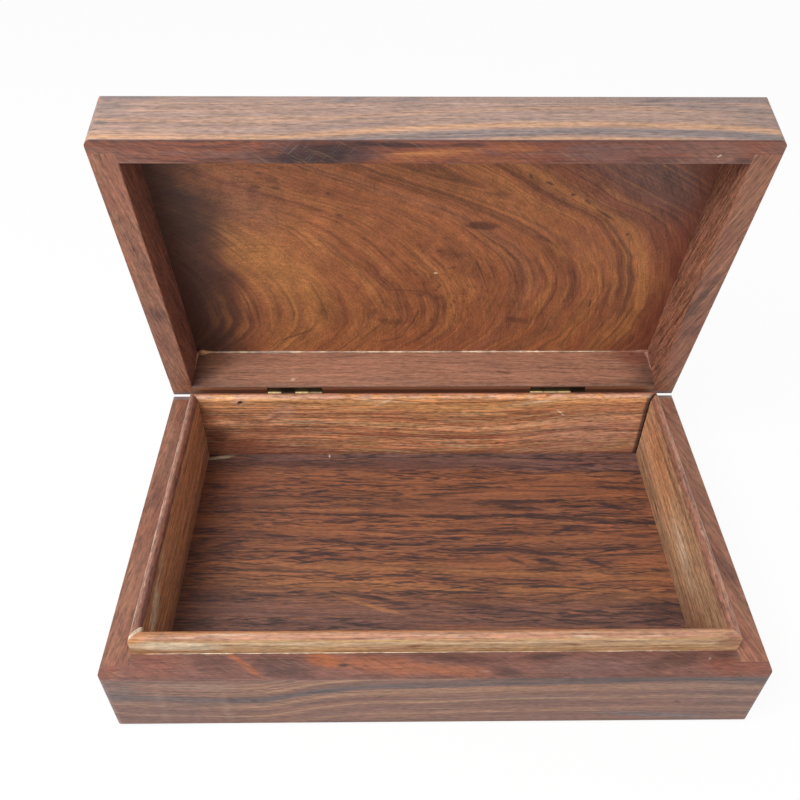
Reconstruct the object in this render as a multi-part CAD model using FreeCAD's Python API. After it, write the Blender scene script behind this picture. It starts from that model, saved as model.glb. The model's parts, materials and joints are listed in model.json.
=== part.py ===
import FreeCAD, Part
import math
import os

from FreeCAD import Vector

# Hinged hardwood box: a base with a proud inner lip, a lid with a figured top board, two butt hinges.
# X runs to the right, Y to the back and Z up, from the middle of the base's underside.
# The lid is built shut, then turned about the hinge line to the angle at which it stands open.

# Outside of the box
width = 250.0
depth = 158.0
base_height = 35.0
lid_height = 26.8
rim_gap = 0.4             # between the two rims when the lid is shut
open_angle = 77.6         # degrees from shut

# Walls and boards
base_wall = 10.8
lip_clearance = 0.4       # between the lip and the lid's walls, each side
bottom_board = 5.0
rabbet_width = 5.0        # how far the bottom board reaches under the walls
board_clearance = 0.2     # round the bottom board's edges
top_board = 5.1
liner = 4.5
lip = 9.5                 # how far the liner stands above the base's rim
open_joint = 1.5          # gap at the liner's back right mitre
shim = 2.0                # along the left liner, in its front mitre
lap = 6.0                 # what is left of the front and back walls over the ends of the side walls

# Rounded and cut edges
corner_round = 3.4        # upright corners
lid_round = 2.4           # edges of the lid's top
base_round = 2.4          # edges of the base's underside
rim_round = 0.4           # edges of both rims
liner_round = 2.0         # top edges of the liner
back_chamfer = 3.8        # along both rims at the back, so that the lid can swing

# Old nail hole in the back liner
nail_hole = 2.8
nail_hole_depth = 3.0
nail_hole_inset = 35.4    # from the left end of the box
nail_hole_drop = 3.5      # below the liner's top

# Hinges
axis_inset = 3.2          # hinge line in front of the back face
left_hinge_inset = 47.2   # from the left end of the box to the left hinge
right_hinge_inset = 44.6  # from the right end of the box to the right hinge
hinge_length = 27.2
leaf_width = 6.0          # from the hinge line to the leaf's inner edge
leaf = 0.8
barrel = 4.8
knuckle_count = 4
knuckle_play = 0.2        # along the pin, between knuckles
knuckle_clearance = 0.25  # round the other leaf's knuckles
pin = 1.6
pin_clearance = 0.06
pin_head = 2.4
pin_head_height = 0.35
mortise_clearance = 0.1   # round each leaf
groove_clearance = 0.3    # round the barrel
groove_overrun = 0.5      # groove past the hinge's left end
groove_end = 0.5          # groove past the hinge's right end

# Hinge screws
screw_spacing = 15.0
screw_setback = 4.1       # from the hinge line
screw_head = 3.2
screw_head_depth = 0.9
screw_shank = 1.8
screw_length = 9.0
screw_point = 2.0
screw_clearance = 0.05
slot_width = 0.5
slot_depth = 0.4

# Inlay in the lid's top face
inlay_depth = 1.2
border_inset = 16.0       # from the lid's edges
border_width = 1.6
star_square = 27.0        # side of each of the star's two squares
star_eye = 11.0           # round piece in the star's middle
lozenge_length = 13.0
lozenge_width = 6.0
lozenge_inset = 13.0      # from the border's inner edges to a lozenge's middle

# Values that follow
lid_wall = base_wall - lip_clearance
lid_rim = base_height + rim_gap
lid_top = lid_rim + lid_height
lid_board_low = lid_top - top_board
liner_top = base_height + lip
axis_y = depth / 2 - axis_inset
axis_z = base_height + rim_gap / 2
knuckle_pitch = hinge_length / knuckle_count
hinge_middles = {
    "left": -width / 2 + left_hinge_inset + hinge_length / 2,
    "right": width / 2 - right_hinge_inset - hinge_length / 2,
}
lid_knuckles = range(0, knuckle_count, 2)
base_knuckles = range(1, knuckle_count, 2)
sides = ("front", "right", "back", "left")  # in order round the plan, a quarter turn from one to the next
spare = 1.0               # how far a cut runs past the face that it opens


def face_of(corners):
    """Flat face through corners (point, radius), each corner rounded by an arc of its radius."""
    starts = []
    ends = []
    edges = []
    for number, (here, radius) in enumerate(corners):
        back = (corners[number - 1][0] - here).normalize()
        ahead = (corners[(number + 1) % len(corners)][0] - here).normalize()
        half = back.getAngle(ahead) / 2
        starts.append(here + back * (radius / math.tan(half)))
        ends.append(here + ahead * (radius / math.tan(half)))
        if radius > 0:
            middle = here + (back + ahead).normalize() * (radius / math.sin(half) - radius)
            edges.append(Part.Arc(starts[-1], middle, ends[-1]).toShape())
    for number, start in enumerate(starts):
        edges.append(Part.LineSegment(ends[number - 1], start).toShape())
    return Part.Face(Part.Wire(Part.__sortEdges__(edges)))


def plan_prism(points, low, high, radius=0.0):
    """Upright prism over plan points (x, y) between two heights, with its upright edges rounded."""
    face = face_of([(Vector(x, y, low), radius) for x, y in points])
    return face.extrude(Vector(0, 0, high - low))


def rectangle(size_x, size_y):
    """Corners of a rectangle in plan, centred on the origin."""
    x = size_x / 2
    y = size_y / 2
    return [(-x, -y), (x, -y), (x, y), (-x, y)]


def long_bar(section, length, turn=0):
    """Bar along X, centred, from section corners (y, z, radius), then turned about Z."""
    face = face_of([(Vector(-length / 2, y, z), radius) for y, z, radius in section])
    bar = face.extrude(Vector(length, 0, 0))
    bar.rotate(Vector(), Vector(0, 0, 1), turn)
    return bar


def frame_bar(section, size_x, size_y, thickness, side, far_trim=0.0):
    """One side of a mitred frame of outside size_x by size_y.

    The section's corners are (distance in from the outer face, z, radius). far_trim draws back
    the mitre at the end that lies anticlockwise in plan.
    """
    if side in ("front", "back"):
        length, offset = size_x, size_y / 2
    else:
        length, offset = size_y, size_x / 2
    bar = long_bar([(inward - offset, z, radius) for inward, z, radius in section], length)
    half = length / 2
    heights = [z for inward, z, radius in section]
    mitres = [
        (-half, -offset),
        (half - far_trim, -offset),
        (half - far_trim - thickness, thickness - offset),
        (thickness - half, thickness - offset),
    ]
    piece = bar.common(plan_prism(mitres, min(heights), max(heights)))
    piece.rotate(Vector(), Vector(0, 0, 1), 90 * sides.index(side))
    return piece


def along_hinge(diameter, start, end):
    """Round bar on the hinge line between two places along X."""
    return Part.makeCylinder(diameter / 2, end - start, Vector(start, axis_y, axis_z), Vector(1, 0, 0))


def screw_form(x, rim, way, grow=0.0):
    """Countersunk screw with its head's face in a rim and its shank along way (1 up, -1 down).

    grow makes the larger form of the screw's hole.
    """
    sizes = [
        (0, 0),
        (screw_head / 2 + grow, 0),
        (screw_shank / 2 + grow, screw_head_depth),
        (screw_shank / 2 + grow, screw_length - screw_point + grow),
        (0, screw_length + grow),
    ]
    y = axis_y - screw_setback
    half_section = face_of([(Vector(x + radius, y, rim + way * reach), 0) for radius, reach in sizes])
    return half_section.revolve(Vector(x, y, 0), Vector(0, 0, 1), 360)


def screw_places(middle):
    """Places along X of a leaf's two screws."""
    return (middle - screw_spacing / 2, middle + screw_spacing / 2)


def hinge_screw(x, rim, way):
    """Slotted countersunk screw in one rim."""
    low = min(rim, rim + way * slot_depth)
    corner = Vector(x - screw_head / 2, axis_y - screw_setback - slot_width / 2, low)
    slot = Part.makeBox(screw_head, slot_width, slot_depth, corner)
    return screw_form(x, rim, way).cut(slot)


def hinge_leaf(middle, own_knuckles, rim, way):
    """Leaf let into a rim, with its own knuckles and notches for the other leaf's."""
    start = middle - hinge_length / 2
    low = min(rim, rim + way * leaf)
    shape = Part.makeBox(hinge_length, leaf_width, leaf, Vector(start, axis_y - leaf_width, low))
    for number in range(knuckle_count):
        near = start + number * knuckle_pitch
        far = near + knuckle_pitch
        if number not in own_knuckles:
            notch = barrel + 2 * knuckle_clearance
            shape = shape.cut(along_hinge(notch, near - knuckle_play / 2, far + knuckle_play / 2))
    for number in own_knuckles:
        near = start + number * knuckle_pitch + knuckle_play / 2
        far = near + knuckle_pitch - knuckle_play
        shape = shape.fuse(along_hinge(barrel, near, far))
    bore = pin + 2 * pin_clearance
    shape = shape.cut(along_hinge(bore, start - spare, start + hinge_length + spare))
    for x in screw_places(middle):
        shape = shape.cut(screw_form(x, rim, way, screw_clearance))
    return shape.removeSplitter()


def hinge_pin(middle):
    """Pin through the knuckles, with a small head at each end."""
    start = middle - hinge_length / 2
    end = middle + hinge_length / 2
    shape = along_hinge(pin, start - pin_head_height, end + pin_head_height)
    shape = shape.fuse(along_hinge(pin_head, start - pin_head_height, start))
    shape = shape.fuse(along_hinge(pin_head, end, end + pin_head_height))
    return shape.removeSplitter()


def hinge_housing(middle, rim, way):
    """Space in a back wall for a leaf, its barrel and its screws."""
    start = middle - hinge_length / 2
    end = middle + hinge_length / 2
    low = min(rim, rim + way * leaf)
    pocket = Part.makeBox(
        hinge_length + 2 * mortise_clearance,
        leaf_width + mortise_clearance,
        leaf,
        Vector(start - mortise_clearance, axis_y - leaf_width - mortise_clearance, low),
    )
    groove = along_hinge(barrel + 2 * groove_clearance, start - groove_overrun, end + groove_end)
    holes = [screw_form(x, rim, way, screw_clearance) for x in screw_places(middle)]
    return [pocket, groove] + holes


def swing_chamfer(rim, way):
    """Long wedge that takes the back outer edge off a rim, on the side that way points to."""
    front = depth / 2 - back_chamfer - spare
    back = depth / 2 + spare
    wedge = [
        (front, rim - way * spare, 0),
        (back, rim + way * (back_chamfer + spare), 0),
        (back, rim - way * spare, 0),
    ]
    return long_bar(wedge, width + 2 * spare)


def wall_plans(thickness):
    """Plan points of the walls by side: the front and back walls lap over the ends of the side walls."""
    x = width / 2
    y = depth / 2
    right_end = [(x, -y), (x, lap - y), (x - thickness, lap - y), (x - thickness, thickness - y)]
    left_end = [(-across, along) for across, along in reversed(right_end)]
    front = right_end + left_end
    right = [(x, lap - y), (x, y - lap), (x - thickness, y - lap), (x - thickness, lap - y)]
    back = [(-across, -along) for across, along in front]
    left = [(-across, -along) for across, along in right]
    return {"front": front, "right": right, "back": back, "left": left}


def outer_walls(section, thickness, rim, way):
    """Four walls by side, cut from one frame that has its rounded corners, back chamfer and hinge housings."""
    heights = [z for inward, z, radius in section]
    low = min(heights)
    high = max(heights)
    bars = [frame_bar(section, width, depth, thickness, side) for side in sides]
    frame = bars[0].fuse(bars[1:]).removeSplitter()
    frame = frame.common(plan_prism(rectangle(width, depth), low, high, corner_round))
    frame = frame.cut(swing_chamfer(rim, way))
    for middle in hinge_middles.values():
        for space in hinge_housing(middle, rim, way):
            frame = frame.cut(space)
    return {side: frame.common(plan_prism(plan, low, high)) for side, plan in wall_plans(thickness).items()}


def base_walls():
    """Base walls: rounded under the outer face, rabbeted inside for the bottom board."""
    ledge = base_wall - rabbet_width
    section = [
        (0, 0, base_round),
        (ledge, 0, 0),
        (ledge, bottom_board, 0),
        (base_wall, bottom_board, 0),
        (base_wall, base_height, rim_round),
        (0, base_height, rim_round),
    ]
    return outer_walls(section, base_wall, base_height, -1)


def base_bottom():
    """Bottom board in the walls' rabbet, flush with the underside."""
    inset = 2 * (base_wall - rabbet_width + board_clearance)
    return plan_prism(rectangle(width - inset, depth - inset), 0, bottom_board)


def liner_bar(side, far_trim=0.0):
    """Plain mitred liner board inside the base, standing on the bottom board, with a rounded top."""
    section = [
        (0, bottom_board, 0),
        (liner, bottom_board, 0),
        (liner, liner_top, liner_round),
        (0, liner_top, liner_round),
    ]
    return frame_bar(section, width - 2 * base_wall, depth - 2 * base_wall, liner, side, far_trim)


def base_liner(side):
    """One liner board, with its mitre drawn back where its joint is open or shimmed."""
    trims = {"right": open_joint, "left": shim}
    board = liner_bar(side, trims.get(side, 0.0))
    if side == "back":
        inner_face = depth / 2 - base_wall - liner
        mouth = Vector(nail_hole_inset - width / 2, inner_face, liner_top - nail_hole_drop)
        board = board.cut(Part.makeCylinder(nail_hole / 2, nail_hole_depth, mouth, Vector(0, 1, 0)))
    return board


def lid_walls():
    """Lid walls, under the top board."""
    section = [
        (0, lid_rim, rim_round),
        (lid_wall, lid_rim, rim_round),
        (lid_wall, lid_board_low, 0),
        (0, lid_board_low, 0),
    ]
    return outer_walls(section, lid_wall, lid_rim, 1)


def lid_board():
    """Top board over the lid's walls, with its top edges rounded."""
    shape = plan_prism(rectangle(width, depth), lid_board_low, lid_top, corner_round)
    for length, across, turn in ((width, depth, 0), (depth, width, 90)):
        section = [
            (-across / 2, lid_board_low, 0),
            (across / 2, lid_board_low, 0),
            (across / 2, lid_top, lid_round),
            (-across / 2, lid_top, lid_round),
        ]
        shape = shape.common(long_bar(section, length, turn))
    return shape


def star_points():
    """Plan points of an eight-pointed star, the outline of two equal squares an eighth turn apart."""
    outer = star_square / math.sqrt(2)
    inner = star_square / 2 / math.cos(math.pi / 8)
    points = []
    for number in range(16):
        radius = inner if number % 2 else outer
        angle = number * math.pi / 8
        points.append((radius * math.cos(angle), radius * math.sin(angle)))
    return points


def inlay_pieces():
    """Inlay by name, each piece flush with the lid's top face."""
    low = lid_top - inlay_depth
    strip = [
        (0, low, 0),
        (border_width, low, 0),
        (border_width, lid_top, 0),
        (0, lid_top, 0),
    ]
    border_x = width - 2 * border_inset
    border_y = depth - 2 * border_inset
    pieces = {}
    for side in sides:
        pieces["inlay_border_" + side] = frame_bar(strip, border_x, border_y, border_width, side)
    eye = Part.makeCylinder(star_eye / 2, inlay_depth, Vector(0, 0, low))
    pieces["inlay_star"] = plan_prism(star_points(), low, lid_top).cut(eye)
    pieces["inlay_star_eye"] = eye
    lozenge_x = border_x / 2 - border_width - lozenge_inset
    lozenge_y = border_y / 2 - border_width - lozenge_inset
    places = {"front_left": (-1, -1), "front_right": (1, -1), "back_left": (-1, 1), "back_right": (1, 1)}
    for place, (across, along) in places.items():
        x = across * lozenge_x
        y = along * lozenge_y
        points = [
            (x - lozenge_length / 2, y),
            (x, y - lozenge_width / 2),
            (x + lozenge_length / 2, y),
            (x, y + lozenge_width / 2),
        ]
        pieces["inlay_lozenge_" + place] = plan_prism(points, low, lid_top)
    return pieces


def base_pieces():
    """Every piece that stays still, by name."""
    pieces = {}
    for side, wall in base_walls().items():
        pieces["base_" + side + "_wall"] = wall
    pieces["base_bottom_board"] = base_bottom()
    for side in sides:
        pieces["liner_" + side] = base_liner(side)
    pieces["liner_corner_shim"] = liner_bar("left").cut(pieces["liner_left"])
    screws = []
    for side, middle in hinge_middles.items():
        pieces[side + "_hinge_base_leaf"] = hinge_leaf(middle, base_knuckles, base_height, -1)
        pieces[side + "_hinge_pin"] = hinge_pin(middle)
        screws += [hinge_screw(x, base_height, -1) for x in screw_places(middle)]
    pieces["base_hinge_screws"] = Part.makeCompound(screws)
    return pieces


def lid_pieces():
    """Every piece that swings with the lid, by name, with the lid shut."""
    pieces = {}
    for side, wall in lid_walls().items():
        pieces["lid_" + side + "_wall"] = wall
    board = lid_board()
    inlay = inlay_pieces()
    for piece in inlay.values():
        board = board.cut(piece)
    pieces["lid_top_board"] = board
    pieces.update(inlay)
    screws = []
    for side, middle in hinge_middles.items():
        pieces[side + "_hinge_lid_leaf"] = hinge_leaf(middle, lid_knuckles, lid_rim, 1)
        screws += [hinge_screw(x, lid_rim, 1) for x in screw_places(middle)]
    pieces["lid_hinge_screws"] = Part.makeCompound(screws)
    return pieces


def main():
    """Build both halves, open the lid and write one file for each piece."""
    os.makedirs("parts", exist_ok=True)
    pieces = base_pieces()
    for name, shape in lid_pieces().items():
        shape.rotate(Vector(0, axis_y, axis_z), Vector(-1, 0, 0), open_angle)
        pieces[name] = shape
    for name, shape in pieces.items():
        shape.exportStep("parts/" + name + ".step")


main()
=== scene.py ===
"""Looks of a hinged hardwood box: oiled rosewood, brass hinges, a brass and bone inlay, lines of glue."""

import copy
import json
import math
from typing import NamedTuple

import bpy
import numpy as np
from bpy.props import FloatProperty, FloatVectorProperty, PointerProperty
from bpy.types import Operator, Panel, PropertyGroup
from mathutils import Matrix, Vector


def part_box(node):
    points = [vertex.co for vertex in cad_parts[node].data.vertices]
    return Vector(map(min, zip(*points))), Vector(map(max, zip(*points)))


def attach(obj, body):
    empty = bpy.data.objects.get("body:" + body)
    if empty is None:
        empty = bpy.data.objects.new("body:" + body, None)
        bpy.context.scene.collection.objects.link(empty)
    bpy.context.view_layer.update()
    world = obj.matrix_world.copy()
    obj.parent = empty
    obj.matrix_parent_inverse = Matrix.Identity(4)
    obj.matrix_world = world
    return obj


bl_info = {
    "name": "Hinged Box Looks",
    "version": (1, 0, 0),
    "blender": (4, 5, 0),
    "location": "3D View > Sidebar > Hinged Box",
    "description": "Dresses the hinged box in oiled rosewood, brass and bone, and sets its stage",
    "category": "Object",
}

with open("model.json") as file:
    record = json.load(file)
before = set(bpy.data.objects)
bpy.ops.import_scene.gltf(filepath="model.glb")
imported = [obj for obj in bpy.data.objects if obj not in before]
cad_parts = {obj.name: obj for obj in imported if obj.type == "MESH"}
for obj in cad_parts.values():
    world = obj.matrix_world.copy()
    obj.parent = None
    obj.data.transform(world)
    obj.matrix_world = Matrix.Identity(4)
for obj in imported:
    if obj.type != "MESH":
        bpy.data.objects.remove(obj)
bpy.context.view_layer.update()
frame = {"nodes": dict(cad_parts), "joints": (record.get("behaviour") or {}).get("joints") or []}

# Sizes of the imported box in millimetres, with the lid shut
MM = 1000
hinge = frame["joints"][0]
hinge_point = Vector(hinge["pos_m"]) * MM
open_angle = -math.radians(hinge["range_deg"][0])
half_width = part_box("base_front_wall")[1].x * MM
half_depth = -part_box("base_front_wall")[0].y * MM
base_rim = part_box("base_front_wall")[1].z * MM
lid_rim = 2 * hinge_point.z - base_rim
liner_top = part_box("liner_front")[1].z * MM
liner_inner_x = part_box("liner_right")[0].x * MM
liner_inner_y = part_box("liner_back")[0].y * MM
liner_outer_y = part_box("liner_back")[1].y * MM
lid_inner_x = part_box("lid_right_wall")[0].x * MM
lid_wall = half_width - lid_inner_x
lid_inner_y = half_depth - lid_wall

lid_turn = Matrix.Rotation(open_angle, 3, "X")


def shut_top(node):
    """Highest point of a lid piece in millimetres, with the lid shut."""
    piece = frame["nodes"][node]
    points = np.empty(3 * len(piece.data.vertices))
    piece.data.vertices.foreach_get("co", points)
    place = np.array(piece.matrix_world)
    points = (points.reshape(-1, 3) @ place[:3, :3].T + place[:3, 3]) * MM
    return ((points - np.array(hinge_point)) @ np.array(lid_turn).T)[:, 2].max() + hinge_point.z


lid_board_low = shut_top("lid_left_wall")


def shown(red, green, blue):
    """Linear colour of a display colour given from 0 to 255."""
    parts = [part / 255 for part in (red, green, blue)]
    return tuple(part / 12.92 if part <= 0.04045 else ((part + 0.055) / 1.055) ** 2.4 for part in parts)


def tone(name, description, red, green, blue):
    """Colour property with a default given in display values."""
    return FloatVectorProperty(
        name=name,
        description=description,
        subtype="COLOR",
        min=0,
        max=1,
        default=shown(red, green, blue),
    )


class BoxTones(PropertyGroup):
    """Colours of the box."""

    tan: tone("Tan", "Pale heartwood of the walls' outer faces", 158, 127, 112)
    amber: tone("Amber", "Orange streaks of the walls", 186, 142, 108)
    slate: tone("Slate", "Grey streaks of the walls", 112, 102, 102)
    gold: tone("Gold", "Golden figure of the lid's board", 198, 134, 80)
    honey: tone("Honey", "Liner boards", 208, 142, 98)
    chestnut: tone("Chestnut", "Warm heartwood of the lid's board", 176, 108, 70)
    ember: tone("Ember", "Orange parts of the rims", 166, 98, 62)
    brown: tone("Brown", "Plain heartwood", 140, 90, 66)
    russet: tone("Russet", "Red heartwood", 138, 80, 62)
    mauve: tone("Mauve", "Dull violet heartwood", 122, 90, 84)
    umber: tone("Umber", "Dark heartwood", 88, 56, 48)
    ink: tone("Ink", "Nearly black streaks", 56, 42, 44)
    cream: tone("Cream", "Sapwood and hardened filler", 232, 212, 182)
    rose: tone("Rose", "Pinkish worn edges of the liner", 206, 158, 134)
    olive: tone("Olive", "Yellow sapwood of the liner", 206, 166, 110)
    brass: tone("Brass", "Hinges, screws and inlay strips", 232, 212, 160)
    tarnish: tone("Tarnish", "Dulled brass", 58, 44, 30)
    bone: tone("Bone", "Pale inlay", 226, 214, 186)


class BoxStage(PropertyGroup):
    """Lamp, floor and camera."""

    floor_size: FloatProperty(
        name="Floor Size", description="Length of the floor's sides", default=6.0, min=1, unit="LENGTH"
    )
    ambient: FloatProperty(
        name="Ambient", description="Strength of the even light all round", default=0.55, min=0
    )
    key_power: FloatProperty(
        name="Key Power", description="Power of the large lamp", default=9.0, min=0, unit="POWER"
    )
    key_size: FloatProperty(
        name="Key Size", description="Diameter of the large lamp", default=0.7, min=0, unit="LENGTH"
    )
    key_place: FloatVectorProperty(
        name="Key Place",
        description="Where the large lamp hangs",
        subtype="TRANSLATION",
        default=(-0.45, -0.35, 0.85),
    )
    key_aim: FloatVectorProperty(
        name="Key Aim",
        description="Point that the large lamp faces",
        subtype="TRANSLATION",
        default=(0, 0.02, 0.06),
    )
    camera_place: FloatVectorProperty(
        name="Camera Place",
        description="Where the camera stands",
        subtype="TRANSLATION",
        default=(-0.017124, -0.238473, 0.321078),
    )
    camera_angles: FloatVectorProperty(
        name="Camera Angles",
        description="Rise, turn to the right and roll of the camera, in degrees",
        default=(-42.6312, 0.9664, 0.4995),
    )
    lens: FloatProperty(
        name="Lens", description="Focal length for a sensor 36 mm wide", default=38.096, min=1
    )


class BoxSettings(PropertyGroup):
    """Everything that a user would change on the box."""

    tones: PointerProperty(type=BoxTones)
    stage: PointerProperty(type=BoxStage)


def paint(colour):
    """Linear colour of a tone that is given by its name. Anything else comes back as it is."""
    if isinstance(colour, str):
        return tuple(getattr(bpy.context.scene.hinged_box.tones, colour))
    return colour


class Field:
    """A number that varies over a board, carried by one socket of its material."""

    def __init__(self, board, socket):
        self.board = board
        self.socket = socket

    def __add__(self, other):
        return self.board.math("ADD", self, other)

    def __radd__(self, other):
        return self.board.math("ADD", other, self)

    def __sub__(self, other):
        return self.board.math("SUBTRACT", self, other)

    def __rsub__(self, other):
        return self.board.math("SUBTRACT", other, self)

    def __mul__(self, other):
        return self.board.math("MULTIPLY", self, other)

    def __rmul__(self, other):
        return self.board.math("MULTIPLY", other, self)

    def __truediv__(self, other):
        return self.board.math("DIVIDE", self, other)

    def __abs__(self):
        return self.board.math("ABSOLUTE", self)

    def step(self, low, high, top=1.0):
        """Soft step from 0 at low to the top at high. low may be above high."""
        node = self.board.nodes.new("ShaderNodeMapRange")
        node.interpolation_type = "SMOOTHSTEP"
        self.board.feed(node.inputs["Value"], self)
        flip = low > high
        node.inputs["From Min"].default_value = min(low, high)
        node.inputs["From Max"].default_value = max(low, high)
        node.inputs["To Min"].default_value = top if flip else 0
        node.inputs["To Max"].default_value = 0 if flip else top
        return Field(self.board, node.outputs[0])


class Mark(NamedTuple):
    """An oval spot on a board's face: centre, half size, tone, strength, and a turn in degrees."""

    centre: tuple
    size: tuple
    tone: str
    strength: float
    turn: float = 0.0
    ragged: float = 0.5
    soft: float = 0.5


class Stroke(NamedTuple):
    """A thin line on a board's face: the points that it follows, half width, tone and strength."""

    points: tuple
    width: float
    tone: str = "umber"
    strength: float = 0.6


class Board:
    """Material of one board under construction.

    x, y and z are millimetres in the shut box. colour is the paint so far, and lay() adds a coat to it.
    """

    def __init__(self, name, in_lid, colour):
        self.material = bpy.data.materials.new(name)
        self.material.use_nodes = True
        self.nodes = self.material.node_tree.nodes
        self.links = self.material.node_tree.links
        self.nodes.clear()
        place = self.nodes.new("ShaderNodeMapping")
        place.inputs["Scale"].default_value = (MM, MM, MM)
        if in_lid:
            place.inputs["Rotation"].default_value = (open_angle, 0, 0)
            place.inputs["Location"].default_value = hinge_point - lid_turn @ hinge_point
        self.links.new(self.nodes.new("ShaderNodeTexCoord").outputs["Object"], place.inputs["Vector"])
        self.place = place.outputs["Vector"]
        parts = self.nodes.new("ShaderNodeSeparateXYZ")
        self.links.new(self.place, parts.inputs[0])
        self.x, self.y, self.z = (Field(self, socket) for socket in parts.outputs)
        self.colour = colour
        self.ragged = self.noise((9, 9, 9), detail=3)

    def feed(self, socket, value):
        """Link a field or socket, or set a plain value or a named tone."""
        value = paint(value)
        if isinstance(value, Field):
            value = value.socket
        if isinstance(value, bpy.types.NodeSocket):
            self.links.new(value, socket)
        elif socket.type == "RGBA":
            socket.default_value = (*value, 1)
        else:
            socket.default_value = value

    def math(self, operation, *values):
        """One Math node."""
        node = self.nodes.new("ShaderNodeMath")
        node.operation = operation
        for socket, value in zip(node.inputs, values):
            self.feed(socket, value)
        return Field(self, node.outputs[0])

    def vector(self, x, y, z=0.0):
        """Three fields as one vector."""
        node = self.nodes.new("ShaderNodeCombineXYZ")
        for socket, value in zip(node.inputs, (x, y, z)):
            self.feed(socket, value)
        return node.outputs[0]

    def noise(self, grain, detail=2.0, roughness=0.5, at=None, shift=0.0):
        """Cloudy field from 0 to 1, whose clouds measure grain millimetres along three axes."""
        place = self.nodes.new("ShaderNodeMapping")
        place.inputs["Scale"].default_value = [1 / size for size in grain]
        place.inputs["Location"].default_value = (shift, shift * 0.7, shift * 1.3)
        self.links.new(self.place if at is None else at, place.inputs["Vector"])
        node = self.nodes.new("ShaderNodeTexNoise")
        node.inputs["Scale"].default_value = 1
        node.inputs["Detail"].default_value = detail
        node.inputs["Roughness"].default_value = roughness
        self.links.new(place.outputs["Vector"], node.inputs["Vector"])
        return Field(self, node.outputs["Fac"])

    def curve(self, field, points):
        """Smooth function of a field through points (place, value) in rising order."""
        first = points[0][0]
        span = points[-1][0] - first
        least = min(value for place, value in points)
        reach = max(max(value for place, value in points) - least, 1e-6)
        node = self.nodes.new("ShaderNodeFloatCurve")
        line = node.mapping.curves[0].points
        while len(line) < len(points):
            line.new(0.5, 0.5)
        for dot, (place, value) in zip(line, points):
            dot.location = ((place - first) / span, (value - least) / reach)
        node.mapping.update()
        self.feed(node.inputs["Value"], (field - first) / span)
        return Field(self, node.outputs[0]) * reach + least

    def ramp(self, field, stops):
        """Colour along a field through stops (place, colour) in rising order."""
        first = stops[0][0]
        span = stops[-1][0] - first
        node = self.nodes.new("ShaderNodeValToRGB")
        line = node.color_ramp.elements
        while len(line) < len(stops):
            line.new(1.0)
        for dot, (place, colour) in zip(line, stops):
            dot.position = (place - first) / span
            dot.color = (*paint(colour), 1)
        self.feed(node.inputs["Fac"], (field - first) / span)
        return node.outputs["Color"]

    def line(self, field, centre, width, strength=1.0):
        """Mask of a line where the field is at the centre, fading out over the width on both sides."""
        return abs(field - centre).step(width, 0, strength)

    def patch(self, at, centre, size, turn=0.0, ragged=0.6, soft=0.5, strength=1.0):
        """Mask of an oval spot: centre and half size in millimetres on the vector at, turn in degrees."""
        place = self.nodes.new("ShaderNodeMapping")
        place.vector_type = "TEXTURE"
        place.inputs["Location"].default_value = (*centre, 0)
        place.inputs["Rotation"].default_value = (0, 0, math.radians(turn))
        place.inputs["Scale"].default_value = (*size, 1)
        self.links.new(at, place.inputs["Vector"])
        node = self.nodes.new("ShaderNodeVectorMath")
        node.operation = "LENGTH"
        self.links.new(place.outputs["Vector"], node.inputs[0])
        reach = self.math("MULTIPLY_ADD", self.ragged, 2 * ragged, Field(self, node.outputs["Value"]))
        return reach.step(1 + soft + ragged, 1 - soft + ragged, strength)

    def layer(self, colour):
        """A second coat of paint for the same board, to be laid on one of its faces."""
        other = copy.copy(self)
        other.colour = colour
        return other

    def mark(self, at, marks):
        """Lay the marks on the face whose two coordinates are in the vector at."""
        for mark in marks:
            shape = (mark.centre, mark.size, mark.turn, mark.ragged, mark.soft)
            self.lay(mark.tone, self.patch(at, *shape, mark.strength))

    def lay(self, colour, mask):
        """Paint a colour over the board where the mask is 1."""
        node = self.nodes.new("ShaderNodeMix")
        node.data_type = "RGBA"
        self.feed(node.inputs[0], mask)
        self.feed(node.inputs[6], self.colour)
        self.feed(node.inputs[7], colour)
        self.colour = node.outputs[2]

    def shade(self, amount):
        """Multiply the paint by a field near 1."""
        node = self.nodes.new("ShaderNodeVectorMath")
        node.operation = "SCALE"
        self.feed(node.inputs[0], self.colour)
        self.feed(node.inputs["Scale"], amount)
        self.colour = node.outputs["Vector"]

    def streak(self, colour, at, grain, between, strength, shift):
        """Paint a colour where cloudy noise passes from the first to the second of two levels."""
        cloud = self.noise(grain, detail=3, roughness=0.55, at=at, shift=shift)
        self.lay(colour, cloud.step(*between, strength))

    def stroke(self, along, across, strokes):
        """Lay lines that follow points (along, across) and fade out at both ends."""
        for stroke in strokes:
            first, last = stroke.points[0][0], stroke.points[-1][0]
            fade = (last - first) * 0.2
            off = abs(across - self.curve(along, stroke.points))
            off = off + (self.ragged - 0.5) * stroke.width
            body = off.step(stroke.width * 1.5, stroke.width * 0.3)
            ends = along.step(first, first + fade) * along.step(last, last - fade)
            self.lay(stroke.tone, body * ends * stroke.strength)

    def turned(self, angle):
        """The face's x and y turned by an angle in degrees."""
        angle = math.radians(angle)
        along = self.x * math.cos(angle) + self.y * math.sin(angle)
        across = self.y * math.cos(angle) - self.x * math.sin(angle)
        return along, across

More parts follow.
